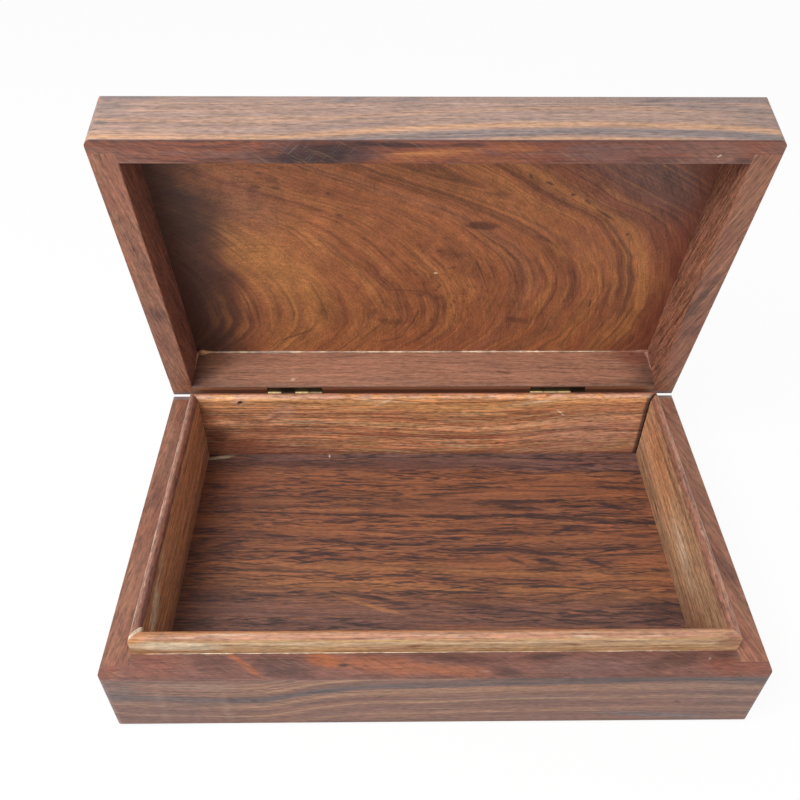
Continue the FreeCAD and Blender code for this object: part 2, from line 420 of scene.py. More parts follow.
    def fibre(self, along, across, through, contrast):
        """Shade the paint by fine grain: fibres, flecks, dark pores and slow bands, drawn out along."""
        grain = self.vector(along, across, through)
        fibres = self.noise((16, 0.8, 0.8), detail=3, roughness=0.7, at=grain)
        flecks = self.noise((3.2, 0.9, 0.9), detail=2, roughness=0.6, at=grain, shift=5)
        bands = self.noise((80, 3.0, 3.0), detail=2, at=grain, shift=7)
        pores = self.noise((4.0, 0.5, 0.5), detail=1, at=grain, shift=3).step(0.58, 0.72)
        light = (fibres - 0.5) * 1.5 + (flecks - 0.5) * 1.1 + (bands - 0.5) * 0.6 - pores * 0.3
        self.shade(1 + light * contrast)
        self.height = fibres - pores * 0.8

    def wood(self):
        """Shader of oiled wood with the grain's relief."""
        return self.finish(self.height, roughness=0.46 + self.height * 0.14)

    def finish(self, height, roughness=0.5, relief=0.0001, metallic=0.0):
        """Shader from the paint so far, with a relief in metres from the height field."""
        shader = self.nodes.new("ShaderNodeBsdfPrincipled")
        self.feed(shader.inputs["Base Color"], self.colour)
        self.feed(shader.inputs["Roughness"], roughness)
        shader.inputs["Metallic"].default_value = metallic
        bump = self.nodes.new("ShaderNodeBump")
        bump.inputs["Strength"].default_value = 1
        bump.inputs["Distance"].default_value = relief
        self.feed(bump.inputs["Height"], height)
        self.links.new(bump.outputs["Normal"], shader.inputs["Normal"])
        output = self.nodes.new("ShaderNodeOutputMaterial")
        self.links.new(shader.outputs["BSDF"], output.inputs["Surface"])
        return self.material


def dress(node, material):
    """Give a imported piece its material."""
    slots = frame["nodes"][node].data.materials
    slots.clear()
    slots.append(material)


def blend(first, second, share):
    """Colour between two others, at a share of the way from the first to the second."""
    return tuple(one + (two - one) * share for one, two in zip(paint(first), paint(second)))


def grained(board, along, across, through, contrast=1.0):
    """Shader of a board whose whole paint takes one grain."""
    board.fibre(along, across, through, contrast)
    return board.wood()


def figured_board():
    """Lid's board: tones by f = x + D(y), whose level lines are nested arcs that open to the left.

    D is how far an arc falls back from its tip. It goes from the inner to the outer arcs' fall with x.
    """
    board = Board("figured_lid_board", True, "chestnut")
    x, y, z = board.x, board.y, board.z
    inner_fall = (
        (-79, 165), (-60, 125), (-48, 101), (-37, 76), (-25, 46), (-12, 28), (-2, 20), (13, 9),
        (22, 4), (30, 1), (40, 0), (48, 1), (54, 5), (62, 12), (79, 30),
    )
    middle_fall = (
        (-79, 165), (-60, 120), (-46, 89), (-33, 57), (-20, 31), (-13, 22), (-4, 12), (8, 3.5),
        (18, 0), (25, 0.3), (38, 4), (52, 8), (68, 22), (79, 32),
    )
    outer_fall = (
        (-79, 115), (-60, 82), (-46, 59.5), (-33, 39.5), (-18, 17.5), (-3, 8), (8, 4.5), (20, 0.5),
        (30, 0.5), (40, 2.5), (56, 5.5), (68, 11), (79, 18),
    )
    inner, middle, outer = (board.curve(y, fall) for fall in (inner_fall, middle_fall, outer_fall))
    near = (x + middle).step(26, 12)
    far = (x + middle).step(75, 95)
    wander = (board.noise((30, 22, 60), detail=2, shift=4) - 0.5) * 7
    rings = x + middle + (inner - middle) * near + (outer - middle) * far + wander
    warm = blend("chestnut", "gold", 0.45)
    dull = blend("chestnut", "mauve", 0.3)
    deep = blend("chestnut", "umber", 0.4)
    board.colour = board.ramp(rings, (
        (-130, "umber"), (-92, blend("umber", "chestnut", 0.3)),
        (-80, blend("chestnut", "brown", 0.4)), (-66, warm), (-56, "gold"), (-46, warm),
        (-38, "chestnut"), (-24, warm), (-10, "chestnut"), (6, "chestnut"), (13, warm),
        (22, "chestnut"), (29, blend("chestnut", "umber", 0.15)), (37, "chestnut"),
        (48, dull), (57, "chestnut"), (66, deep), (71, blend("chestnut", "russet", 0.4)),
        (79, warm), (86, "chestnut"), (93, deep), (97, warm), (103, warm),
        (110, blend("russet", "chestnut", 0.3)), (120, "russet"),
        (140, blend("russet", "mauve", 0.7)), (240, "mauve"),
    ))
    arcs = board.vector(rings, y, z)
    board.streak("umber", arcs, (1.4, 40, 40), (0.48, 0.74), 0.55, 17)
    board.streak("gold", arcs, (1.5, 50, 50), (0.5, 0.74), 0.5, 19)
    board.streak("umber", arcs, (3.6, 50, 50), (0.48, 0.68), 0.5, 23)
    board.streak("gold", arcs, (5.0, 60, 60), (0.5, 0.68), 0.5, 37)
    board.streak(blend("russet", "ember", 0.5), arcs, (9.0, 40, 40), (0.5, 0.66), 0.5, 43)
    flecks = board.noise((1.3, 2.6, 2.6), detail=1, at=arcs, shift=51).step(0.6, 0.7, 0.6)
    board.lay("umber", flecks * board.patch(board.vector(x, y), (10, 14), (22, 36), soft=0.9))
    broken = board.noise((90, 12, 12), detail=2, shift=29).step(0.36, 0.6)
    dark_arcs = ((-52, 2.2, 0.3), (4.5, 1.6, 0.4), (27, 1.8, 0.25), (68, 3.0, 0.4), (96, 2.6, 0.3))
    for place, width, strength in dark_arcs:
        board.lay("umber", board.line(rings, place, width, strength) * broken)
    board.lay("gold", board.line(rings, 101, 2.5, 0.4) * broken)
    board.stroke(x, y, (
        Stroke(((-73, 60), (-62, 54.5), (-57, 52), (-53, 47)), 0.7, "umber", 0.6),
        Stroke(((-28, 61), (-12, 57), (-8, 51)), 0.6, "umber", 0.45),
        Stroke(((-20, 22), (-8, 22.5), (2, 25)), 0.5, "umber", 0.5),
    ))
    board.stroke(y, x, (
        Stroke(((35, -3), (42, -4.5), (50, -8), (56, -11)), 0.6, "umber", 0.6),
        Stroke(((26, 3.5), (34, 6), (42, 6), (49, 4.5), (56, -0.5), (64, -7)), 0.9, "umber", 0.5),
        Stroke(((0, 20.5), (6, 23), (14, 26), (20, 28)), 0.5, "umber", 0.55),
        Stroke(((29, 78), (32, 78.3), (35, 78)), 0.5, "umber", 0.7),
        Stroke(((30, 99.5), (42, 97.5), (56, 93), (68, 87)), 0.8, "umber", 0.5),
    ))
    face = board.vector(x, y)
    board.mark(face, (
        Mark((-66, 8), (13, 23), "gold", 0.6, turn=-35, soft=0.9),
        Mark((-46, 34), (5, 12), "umber", 0.25, turn=4, ragged=1.0),
        Mark((67, -12), (11, 7), "russet", 0.4, turn=40),
        # Duller violet patch towards the front right: partly the board's own tone, partly painted shade of
        # the front wall.
        Mark((100, -38), (34, 14), "mauve", 0.3, turn=22, soft=0.9),
        Mark((-78, -30), (16, 14), "mauve", 0.35, turn=20, soft=0.9),
        Mark((22.5, -18), (7.2, 2.3), "umber", 0.75, turn=6, ragged=0.3, soft=0.35),
        Mark((44, 43.6), (5.4, 1.7), "umber", 0.5, turn=14, ragged=0.9, soft=0.7),
        Mark((-17, 44.6), (7, 2.0), "umber", 0.45, turn=12, ragged=1.0, soft=0.7),
        Mark((-25, 39), (1.6, 4), "umber", 0.4, turn=25),
        Mark((51, -9.6), (4.4, 1.1), "umber", 0.5, turn=35, ragged=1.0),
        Mark((0, 26), (7, 1.6), "umber", 0.35, turn=12, ragged=1.2, soft=0.8),
        Mark((9, 37), (1.2, 6), "umber", 0.5, turn=4, ragged=1.0),
        Mark((14, -1), (7, 1.6), "umber", 0.3, turn=10, ragged=1.2, soft=0.8),
        Mark((86, -13), (0.8, 0.7), "ink", 0.7),
        Mark((73, -25), (5, 0.6), "ink", 0.6, turn=36, ragged=1.2),
        Mark((65, -31.5), (2.0, 0.8), "ink", 0.65, turn=45, ragged=1.0),
        Mark((58.6, -35), (1.1, 0.8), "ink", 0.65, ragged=0.8),
        Mark((48, -41), (2.4, 0.7), "ink", 0.7, turn=30, ragged=1.0),
        Mark((40, -44.5), (1.8, 0.7), "ink", 0.65, turn=60, ragged=1.0),
        Mark((-71, -39), (1.7, 1.0), "umber", 0.4, ragged=1.0),
        Mark((-63, -38.6), (1.5, 0.9), "umber", 0.4, ragged=1.0),
        Mark((-42, -35.6), (1.4, 0.8), "umber", 0.45, turn=25, ragged=1.0),
        Mark((-69, -46), (1.4, 0.7), "umber", 0.4, ragged=1.0),
        Mark((-60, -49), (1.3, 0.8), "umber", 0.4, ragged=1.0),
        Mark((-38, -24), (1.7, 0.8), "umber", 0.45, turn=15, ragged=1.0),
        Mark((4, 11), (0.8, 0.45), "cream", 0.9, ragged=0.1),
        Mark((64, 57.5), (1.6, 0.5), "gold", 0.7, ragged=0.2),
    ))
    stipple = board.noise((0.9, 1.1, 2), detail=2, roughness=0.7, shift=61)
    blotches = board.noise((6, 10, 9), detail=3, roughness=0.6, shift=67)
    board.shade(stipple * 1.15 + blotches * 0.95)
    board.shade(1 - x.step(40, 100, 0.07))
    inside = z.step(lid_board_low + 1.4, lid_board_low - 0.1)
    # Darker along the left edge of the inner face, most towards the front: partly a dark stain in the wood,
    # partly painted shadow of the left wall and, towards the front, of the front wall.
    stain_and_shadow_edge = (
        (-79, -100), (-45, -97), (-30, -88), (-10, -87), (0, -92), (10, -88), (20, -89), (40, -95),
        (60, -91), (79, -88),
    )
    depth = x - board.curve(y, stain_and_shadow_edge) + (board.ragged - 0.5) * 12
    board.shade(1 - depth.step(12, -14, 0.72) * inside)
    board.shade(1 - depth.step(4, -18, 0.5) * y.step(2, -16) * inside)
    board.lay(blend("umber", "mauve", 0.5), depth.step(10, -10, 0.35) * inside)
    board.lay("russet", x.step(104, 113, 0.5) * inside)
    edge = board.layer(blend("tan", "slate", 0.35))
    slant = board.vector(x + z * 3, y, z - x * 0.16)
    edge.streak("slate", slant, (22, 5, 1.6), (0.46, 0.66), 0.7, 2)
    edge.streak("amber", slant, (26, 5, 1.2), (0.56, 0.72), 0.4, 9)
    edge.lay("slate", x.step(40, 118, 0.5))
    edge.mark(board.vector(x, z), (
        Mark((80, 58), (5, 0.9), "ink", 0.4, turn=10),
        Mark((-113, 60.4), (9, 1.3), "slate", 0.8, turn=-3),
    ))
    rim_of_board = board.math("MAXIMUM", abs(y) - half_depth, abs(x) - half_width)
    board.lay(edge.colour, rim_of_board.step(-0.9, -0.3))
    from_swirl = board.math("SQRT", (x + 75) * (x + 75) + (y - 55) * (y - 55))
    round_swirl = board.math("ARCTAN2", y - 55, x + 75) * 70
    return grained(board, round_swirl, from_swirl, z, 0.46)


def lid_front():
    """Lid's front wall: bands by height above a line that bows up to the right, and a blotched rim."""
    board = Board("lid_front_wall", True, "tan")
    x, y, z = board.x, board.y, board.z
    bow = (
        (-125, -6.8), (-110, -7.2), (-83, -7.5), (-66, -7.5), (-43, -6), (-23, -3.9), (4, -1.8),
        (30, -0.5), (57, 0), (70, -0.3), (97, -1.3), (110, -2.6), (120, -4), (125, -5),
    )
    wander = (board.noise((50, 30, 9), detail=2, shift=2) - 0.5) * 1.6
    rings = z - board.curve(x, bow) + wander
    pale = blend("tan", "amber", 0.4)
    dull = blend("tan", "slate", 0.3)
    smoke = blend("tan", "slate", 0.85)
    board.colour = board.ramp(rings, (
        (30, pale), (35.5, pale), (36.6, "amber"), (37.6, "tan"), (39.2, smoke), (41.6, smoke),
        (43.4, pale), (44.6, "amber"), (45.8, pale), (47.4, dull), (48.8, dull), (50.2, "tan"),
        (51.6, dull), (52.6, "tan"), (53.6, pale), (54.8, "tan"), (57, dull), (59, "tan"),
        (70, dull),
    ))
    along = board.vector(x, y, rings)
    board.streak("slate", along, (60, 8, 0.8), (0.52, 0.74), 0.45, 3)
    board.streak("amber", along, (70, 8, 0.8), (0.53, 0.74), 0.5, 8)
    board.lay(smoke, board.line(rings, 40.6, 1.7, 0.75) * x.step(0, 90))
    board.mark(board.vector(x, z), (
        Mark((-120, 45), (3.4, 1.0), "slate", 0.7),
        Mark((-121, 54), (8, 3), "slate", 0.45),
        Mark((-116, 49), (5, 1), "slate", 0.4),
        Mark((104, 54), (26, 3), "slate", 0.35, turn=-6),
        Mark((116, 48), (9, 4), "slate", 0.3, turn=-20),
    ))
    board.fibre(x, z, y, 1.0)
    rim = board.layer("russet")
    arch = board.math("SQRT", (x + 84) * (x + 84) * 0.12 + (y + 84) * (y + 84))
    shake = (board.noise((9, 5, 5), detail=2, shift=21) - 0.5) * 3
    arched = board.vector(arch + shake, x, z)
    arches = board.noise((1.1, 30, 30), at=arched, shift=6).step(0.46, 0.64, 0.6)
    rim.lay("umber", arches * x.step(-52, -66))
    rim.lay("ember", arches.step(0.1, 0, 0.3) * x.step(-52, -66))
    plan = board.vector(x, y)
    drift = board.vector(*board.turned(32), z)
    rim.streak("mauve", plan, (26, 4, 4), (0.44, 0.62), 0.6, 44)
    rim.mark(plan, (
        Mark((-43, -72.5), (20, 6), "ink", 0.9, turn=-8),
        Mark((-14, -77), (16, 1.1), "ink", 0.85, turn=2),
        Mark((11, -76.8), (6, 0.9), "ink", 0.8),
        Mark((-3, -72.6), (16, 2.8), "ember", 0.95, turn=-6),
        Mark((-4, -73.4), (13, 1.0), "gold", 0.5, turn=-3),
        Mark((28, -75.4), (9, 2.2), "ember", 0.85, turn=3),
        Mark((20, -70.5), (14, 1.6), "ember", 0.6),
        Mark((62, -74), (18, 5), "mauve", 0.45),
        Mark((80, -70.2), (9, 1.4), "umber", 0.7, turn=6),
        Mark((102, -73), (10, 3.6), "tan", 0.3),
        Mark((112, -70), (4, 1.4), "umber", 0.8, turn=10),
        Mark((102, -72.3), (0.8, 0.35), "cream", 0.8, turn=-40, ragged=0.2),
    ))
    rim.streak("umber", drift, (7, 1.0, 3), (0.46, 0.72), 0.45, 5)
    rim.streak("amber", drift, (8, 0.9, 3), (0.54, 0.74), 0.28, 15)
    rim.fibre(x, y, z, 0.7)
    scratch = board.vector(*board.turned(-48), z)
    scuffs = board.noise((9, 0.7, 4), detail=1, at=scratch, shift=31).step(0.6, 0.72, 0.6)
    rim.lay("slate", scuffs * board.patch(plan, (-45, -73), (20, 6)))
    rim.lay("ink", y.step(0.7 - half_depth, 0.2 - half_depth, 0.6))
    rim.lay("tan", y.step(-lid_inner_y - 0.9, -lid_inner_y - 0.2, 0.45) * board.ragged.step(0.4, 0.6))
    board.lay(rim.colour, z.step(lid_rim + 0.6, lid_rim + 0.2))
    return board.wood()


def base_front():
    """Base's front wall: bands by height above a line that dips at the left, and a blotched rim."""
    plain = blend(blend("tan", "mauve", 0.85), "brown", 0.55)
    board = Board("base_front_wall", False, plain)
    x, y, z = board.x, board.y, board.z
    dip = (
        (-125, -9.3), (-110, -11.5), (-97, -12.3), (-86, -13), (-70, -13), (-61, -11.5), (-50, -8),
        (-37, -4.8), (-23, -3.2), (3, -2.5), (30, -1.2), (57, -0.4), (97, 0), (125, -1.6),
    )
    wander = (board.noise((45, 30, 9), detail=2, shift=2) - 0.5) * 1.8
    rings = z - board.curve(x, dip) + wander
    dull = blend(plain, "umber", 0.16)
    smoke = blend("slate", "umber", 0.5)
    glow = blend(plain, "amber", 0.4)
    soft = blend(plain, "amber", 0.18)
    board.colour = board.ramp(rings, (
        (0, dull), (8, dull), (10.5, plain), (12.2, glow), (13.8, plain), (17, dull), (19, plain),
        (20.6, blend(glow, "amber", 0.25)), (22.4, plain), (24, dull), (26, soft),
        (28.4, blend(glow, "amber", 0.25)), (30.2, soft), (31.6, smoke), (34.4, smoke), (36, plain),
        (37.8, glow), (39.4, plain), (43, soft), (50, dull),
    ))
    flare = board.patch(board.vector(x, z), (-45, 31), (28, 9))
    board.lay(blend(plain, "amber", 0.7), board.line(rings, 37.8, 1.5, 0.8) * flare)
    along = board.vector(x, y, rings)
    board.streak(smoke, along, (70, 8, 0.8), (0.5, 0.68), 0.6, 3)
    board.streak("amber", along, (80, 8, 0.8), (0.53, 0.7), 0.5, 8)
    board.streak("brown", along, (80, 8, 2.0), (0.5, 0.66), 0.35, 18)
    board.shade(0.94)
    board.mark(board.vector(x, z), (
        Mark((-120, 27), (9, 8), "slate", 0.4, turn=-8, soft=0.8),
        Mark((-105, 12), (18, 10), "mauve", 0.4, soft=0.8),
        Mark((-90, 30), (17, 2.4), "tan", 0.4, turn=-4),
        Mark((-78, 20), (3, 2.0), "ink", 0.4),
        Mark((-68.5, 19), (1.6, 1.4), "ink", 0.4),
        Mark((-104, 17), (1.6, 13), "tan", 0.3, soft=0.9),
        Mark((-80, 13), (1.6, 9), "tan", 0.35, soft=0.9),
        Mark((86, 6.5), (20, 1.8), "slate", 0.6, turn=-4),
        Mark((60, 17.3), (3, 0.6), "ink", 0.4, turn=-6),
        Mark((93, 16.6), (1.5, 0.7), "ink", 0.55, turn=-35),
        Mark((112, 20), (16, 14), "slate", 0.2, soft=0.9),
        Mark((75, 33.5), (50, 1.2), "ink", 0.3, turn=-1),
    ))
    board.fibre(x, z, y, 1.0)
    rim = board.layer(blend(blend("russet", "mauve", 0.6), "umber", 0.08))
    plan = board.vector(x, y)
    drift = board.vector(*board.turned(-24), z)
    rim.mark(plan, (
        Mark((-106, -73), (12, 6), "russet", 0.5),
        Mark((-83, -73), (9, 3.6), "umber", 0.65, turn=-20),
        Mark((-72, -72.5), (8, 1.0), "ember", 0.85, turn=-36),
        Mark((-57, -74), (11, 3.8), "ink", 0.55, turn=-14),
        Mark((-42, -71.5), (6, 2.4), "ember", 0.95, turn=-10),
        Mark((-20, -73.5), (24, 3.2), "ember", 0.6, turn=-6),
        Mark((8, -75.8), (16, 2.2), "ember", 0.4, turn=-2),
        Mark((-34.5, -73.3), (2.2, 0.6), "ink", 0.85),
        Mark((10, -71), (15, 1.8), "umber", 0.75, turn=-5),
        Mark((26, -76.5), (6, 1.8), "ink", 0.6, turn=-8),
        Mark((42, -70.2), (9, 1.2), "ink", 0.7, turn=3),
        Mark((60, -74), (20, 4), "mauve", 0.7, turn=2),
        Mark((90, -72), (11, 3.0), "umber", 0.7, turn=14),
        Mark((113, -74), (12, 4), "russet", 0.8),
        Mark((110, -70.5), (5, 0.9), "ink", 0.6, ragged=0.9),
        Mark((103, -71.5), (0.7, 0.4), "cream", 0.35, turn=40, ragged=0.7),
        # Dark patch at the foot of the liner's front right corner: partly glue, partly painted shade.
        Mark((109, -69.6), (8, 2.0), "umber", 0.6, ragged=0.9, soft=0.8),
        Mark((18, -76.2), (2.0, 0.4), "tan", 0.5, ragged=0.6),
        Mark((-121, -75.6), (3.0, 2.4), "russet", 0.9, ragged=0.2),
    ))
    rim.streak("umber", drift, (12, 1.2, 3), (0.46, 0.72), 0.42, 5)
    rim.streak("amber", drift, (9, 0.9, 3), (0.54, 0.74), 0.22, 15)
    rim.fibre(x, y, z, 0.8)
    rim.lay("umber", y.step(1.1 - half_depth, 0.4 - half_depth, 0.5) * board.ragged.step(0.35, 0.6))
    board.shade(0.94)
    rim.shade(0.88)
    board.lay(rim.colour, z.step(base_rim - 0.6, base_rim - 0.2))
    return board.wood()


def side_wall(name, in_lid, inner, outer, rim_tone, tilt, shift, marks, near=1.0, away=1.0):
    """Side wall: streaks along y on its outer face, slanting ones on its rim and on its inner face.

    near and away scale the rim's paint towards the inside of the box and towards the outside; near below 1
    paints shade along the liner's foot, and near above 1 paints light there.
    """
    rim_plane = lid_rim if in_lid else base_rim
    board = Board(name, in_lid, outer)
    x, y, z = board.x, board.y, board.z
    wander = (board.noise((9, 40, 9), detail=2, shift=shift) - 0.5) * 3
    along = board.vector(y, x, z + wander)
    board.streak("slate", along, (60, 6, 1.6), (0.48, 0.68), 0.6, shift)
    board.streak("amber", along, (70, 6, 1.1), (0.55, 0.72), 0.5, shift + 5)
    board.fibre(y, z, x, 1.0)
    face = board.layer(inner)
    slant = board.vector(y + z * 1.6, x, z - y * 0.25)
    face.streak("umber", slant, (24, 8, 1.4), (0.48, 0.68), 0.75, shift)
    face.streak("chestnut", slant, (30, 8, 1.6), (0.54, 0.72), 0.7, shift + 3)
    face.fibre(y + z * 1.6, z - y * 0.25, x, 1.6)
    board.lay(face.colour, abs(x).step(lid_inner_x + 0.5, lid_inner_x + 0.1))
    rim = board.layer(rim_tone)
    lean = board.vector(y + x * 1.2, x - y * tilt + wander, z)
    rim.streak("umber", lean, (34, 1.6, 4), (0.48, 0.76), 0.45, shift + 2)
    rim.streak("amber", lean, (36, 1.6, 4), (0.52, 0.78), 0.4, shift + 6)
    rim.streak("russet", board.vector(y, x, z), (24, 8, 8), (0.46, 0.62), 0.45, shift + 4)
    rim.streak("umber", lean, (12, 4, 6), (0.54, 0.7), 0.4, shift + 8)
    rim.mark(board.vector(y, x), marks)
    rim.fibre(y + x * 0.6, x - y * tilt, z, 1.15)
    # Along the liner's foot the rim is scaled by near, which is painted shade below 1 and painted light
    # above 1; further out it is scaled by away.
    rim.shade(away + abs(x).step(lid_inner_x + 8, lid_inner_x + 3.6, near - away))
    board.lay(rim.colour, abs(z - rim_plane).step(0.6, 0.2))
    return board.wood()


def back_wall(name, in_lid, inner, gap_shade):
    """Back wall: streaks along x rising to the right, darker ends inside, a rim that darkens outwards:
    painted light near its inner edge and painted shade further out, where it lies in the gap between lid
    and base.
    """
    rim_plane = lid_rim if in_lid else base_rim
    board = Board(name, in_lid, "tan")
    x, y, z = board.x, board.y, board.z
    wander = (board.noise((40, 30, 9), detail=2, shift=2) - 0.5) * 3
    along = board.vector(x, y, z - x * 0.04 + wander)
    board.streak("slate", along, (60, 6, 1.6), (0.48, 0.68), 0.65, 3)
    board.streak("amber", along, (70, 6, 1.2), (0.55, 0.72), 0.55, 8)
    face = board.layer(inner)
    slope = board.vector(x, y, z + x * 0.06 + wander)
    face.streak("umber", slope, (30, 6, 0.9), (0.52, 0.72), 0.5, 6)
    face.streak("tan", slope, (40, 6, 1.2), (0.54, 0.74), 0.4, 9)
    off_middle = abs(x)
    ends = off_middle + (board.ragged - 0.5) * 14
    face.lay(blend("umber", "ink", 0.3), ends.step(96, 116, 0.75))
    face.mark(board.vector(x, z), (
        Mark((-65, 39.6), (1.1, 0.8), "cream", 0.6),
        Mark((40, 44), (4, 0.8), "umber", 0.6, turn=-12),
        Mark((106, 54), (9, 5), "russet", 0.6, turn=-20),
        Mark((-104, 51), (9, 6), "brown", 0.5, turn=20),
    ))
    # Pale band along the bottom edge of the inner face: partly wear, partly a painted highlight on the
    # rounded edge.
    worn = z.step(rim_plane + 1.3, rim_plane + 0.5) * board.ragged.step(0.4, 0.58, 0.35)
    face.lay("tan", worn * off_middle.step(112, 100))
    # Painted shade over the last few millimetres of the inner face above the rim, deeper towards the ends.
    face.shade(1 - z.step(rim_plane + 6, rim_plane + 1) * (0.14 + off_middle.step(50, 104, 0.22)))
    board.lay(face.colour, y.step(lid_inner_y + 0.5, lid_inner_y + 0.1))
    board.fibre(x, z, y, 0.9)
    # The rim in the gap between lid and base: chestnut paint, painted light from its inner edge, and
    # painted shade that sets in 2 to 3 mm further out.
    depth = y - lid_inner_y
    rim = abs(z - rim_plane).step(5, 0.6, gap_shade) * off_middle.step(118, 108) * depth.step(9, 6)
    board.lay("chestnut", rim * depth.step(0.2, 1, 0.8))
    board.shade(1 + rim * (depth.step(0.2, 1, 0.12) - depth.step(2.2, 3.2, 0.7)))
    return board.wood()


def liner_back_wood():
    """Back liner: bands above and below a line that sags in the middle, golden above and red below."""
    board = Board("liner_back", False, "honey")
    x, y, z = board.x, board.y, board.z
    sag = (
        (-115, 21.6), (-60, 21), (-20, 19), (10, 17), (30, 16.8), (50, 18.5), (70, 22), (90, 24),
        (115, 25.4),
    )
    wander = (board.noise((34, 30, 8), detail=2, shift=2) - 0.5) * 2
    rings = z - board.curve(x, sag) + wander
    red = blend("honey", "russet", 0.72)
    warm = blend("honey", "russet", 0.32)
    glow = blend(blend("honey", "gold", 0.6), "olive", 0.25)
    board.colour = board.ramp(rings, (
        (-22, "russet"), (-15, blend("russet", "honey", 0.2)), (-11, red), (-8.4, warm),
        (-6.8, red), (-5.2, warm), (-2.4, "honey"), (-0.8, red), (1, red), (2.6, warm),
        (5, "honey"), (6.8, blend("honey", "cream", 0.2)), (9, "honey"), (12, warm),
        (14.4, blend(warm, "brown", 0.25)), (16.4, "honey"), (20, glow), (28, glow),
    ))
    along = board.vector(x, y, rings)
    board.shade(1.42)
    board.streak("russet", along, (44, 5, 0.9), (0.48, 0.66), 0.7, 4)
    board.streak(blend("cream", "olive", 0.4), along, (40, 5, 0.9), (0.5, 0.66), 0.75, 9)
    board.streak("russet", along, (60, 5, 1.8), (0.5, 0.68), 0.4, 14)
    board.streak("brown", along, (80, 5, 1.0), (0.52, 0.66), 0.65, 24)
    board.streak("olive", along, (40, 5, 1.4), (0.52, 0.68), 0.55, 44)
    board.streak("umber", along, (70, 5, 0.7), (0.54, 0.68), 0.6, 54)
    board.lay("gold", rings.step(6, 20, 0.3))
    broken = board.noise((30, 9, 9), shift=31).step(0.35, 0.55)
    board.lay("russet", board.line(rings, 0, 1.0, 0.55) * broken)
    board.mark(board.vector(x, z), (
        Mark((85, 20), (24, 12), "rose", 0.5, turn=8, soft=0.9),
        Mark((-88, 12), (30, 12), "russet", 0.6, soft=0.9),
        Mark((-70, 35), (8, 4), "rose", 0.45, turn=30, ragged=0.8),
        Mark((-92, 31), (16, 3), "brown", 0.5, turn=-14),
        Mark((-76, 30), (6, 1), "russet", 0.5, turn=30),
        Mark((-89.6, 42), (3.6, 2.8), "rose", 0.5),
        Mark((-103, 19), (6, 3.6), "umber", 0.6),
        Mark((-12, 34), (44, 0.8), "brown", 0.6, turn=1, ragged=0.8),
        Mark((52, 34.5), (12, 1.6), "brown", 0.45, turn=3),
        Mark((52, 40.8), (12, 0.8), "cream", 0.45, turn=9),
        Mark((6, 33.6), (3, 0.5), "olive", 0.8, turn=38, ragged=0.3),
        Mark((20, 34), (3.2, 0.5), "olive", 0.8, turn=-34, ragged=0.3),
        Mark((27, 33.8), (3.0, 0.5), "olive", 0.8, turn=-38, ragged=0.3),
        Mark((67.5, 33.8), (3.2, 0.5), "cream", 0.7, turn=-48, ragged=0.3),
        Mark((-20, 41.3), (4.5, 0.5), "cream", 0.6, turn=26, ragged=0.3),
        Mark((31, 37), (3, 0.5), "olive", 0.7, turn=-50, ragged=0.3),
    ))
    board.lay("umber", x.step(-98, -112, 0.5))
    board.lay("ink", x.step(liner_inner_x - 2.2, liner_inner_x - 0.8, 0.8))
    board.lay("rose", z.step(liner_top - 1.6, liner_top - 0.3, 0.7) * board.ragged.step(0.35, 0.55))
    # Painted highlight: a brighter band just below the top, where the top edge rounds over.
    board.shade(1 + board.line(z, liner_top - 2.6, 1.8, 0.28))
    # Painted shade: dark red along the back edge of the top, under the lid's back wall.
    board.lay("russet", y.step(liner_outer_y - 2.8, liner_outer_y - 1.6, 0.8))
    board.lay("umber", z.step(8, 5, 0.55))
    return grained(board, x, z, y, 1.3)


def liner_side_wood(name, ground, glow, edge, gloom, dusk, shift, marks):
    """Side liner: streaks along y, and a speckled top of another colour.

    gloom darkens the board towards the front, and dusk paints shade over the inner part of its top.
    """
    board = Board(name, False, ground)
    x, y, z = board.x, board.y, board.z
    wander = (board.noise((9, 30, 9), detail=2, shift=shift) - 0.5) * 3
    along = board.vector(y, x, z - y * 0.03 + wander)
    board.streak("chestnut", along, (60, 5, 1.5), (0.5, 0.68), 0.6, shift)
    board.streak(glow, along, (60, 5, 1.8), (0.53, 0.7), 0.65, shift + 4)
    board.streak("brown", along, (60, 5, 1.0), (0.46, 0.68), 0.6, shift + 14)
    board.streak("umber", along, (50, 5, 1.2), (0.54, 0.7), 0.5, shift + 24)
    board.lay("umber", z.step(20, 5, 0.4))
    board.lay("umber", y.step(30, -64, gloom))
    board.mark(board.vector(y, z), marks)
    top = z.step(liner_top - 1.7, liner_top - 1.0)
    board.lay(edge, top * 0.9)
    board.lay("umber", board.line(z, liner_top - 1.5, 0.9, 0.7) * board.ragged.step(0.4, 0.56))
    lengthwise = board.vector(y, x, z)
    specks = board.noise((3.0, 0.9, 0.9), detail=3, roughness=0.75, at=lengthwise, shift=shift + 34)
    board.lay(blend("rose", "cream", 0.4), top * specks.step(0.5, 0.72, 0.5))
    depth = abs(x) - liner_inner_x
    # Painted shade over the inner part of the top, russet and darker, by dusk.
    shaded_inner_top = top * depth.step(1.6 + 2 * dusk, 0.2 + 1.6 * dusk)
    board.lay("russet", shaded_inner_top * dusk)
    board.shade(1 - shaded_inner_top * dusk * 0.5)
    # Painted highlight: pale streaks along the outer edge of the top.
    foot = depth.step(3.4, 4.4)
    board.lay("cream", foot * board.noise((8, 12, 2), detail=3, shift=shift + 9).step(0.46, 0.62, 0.5))
    return grained(board, y, z, x, 1.35)


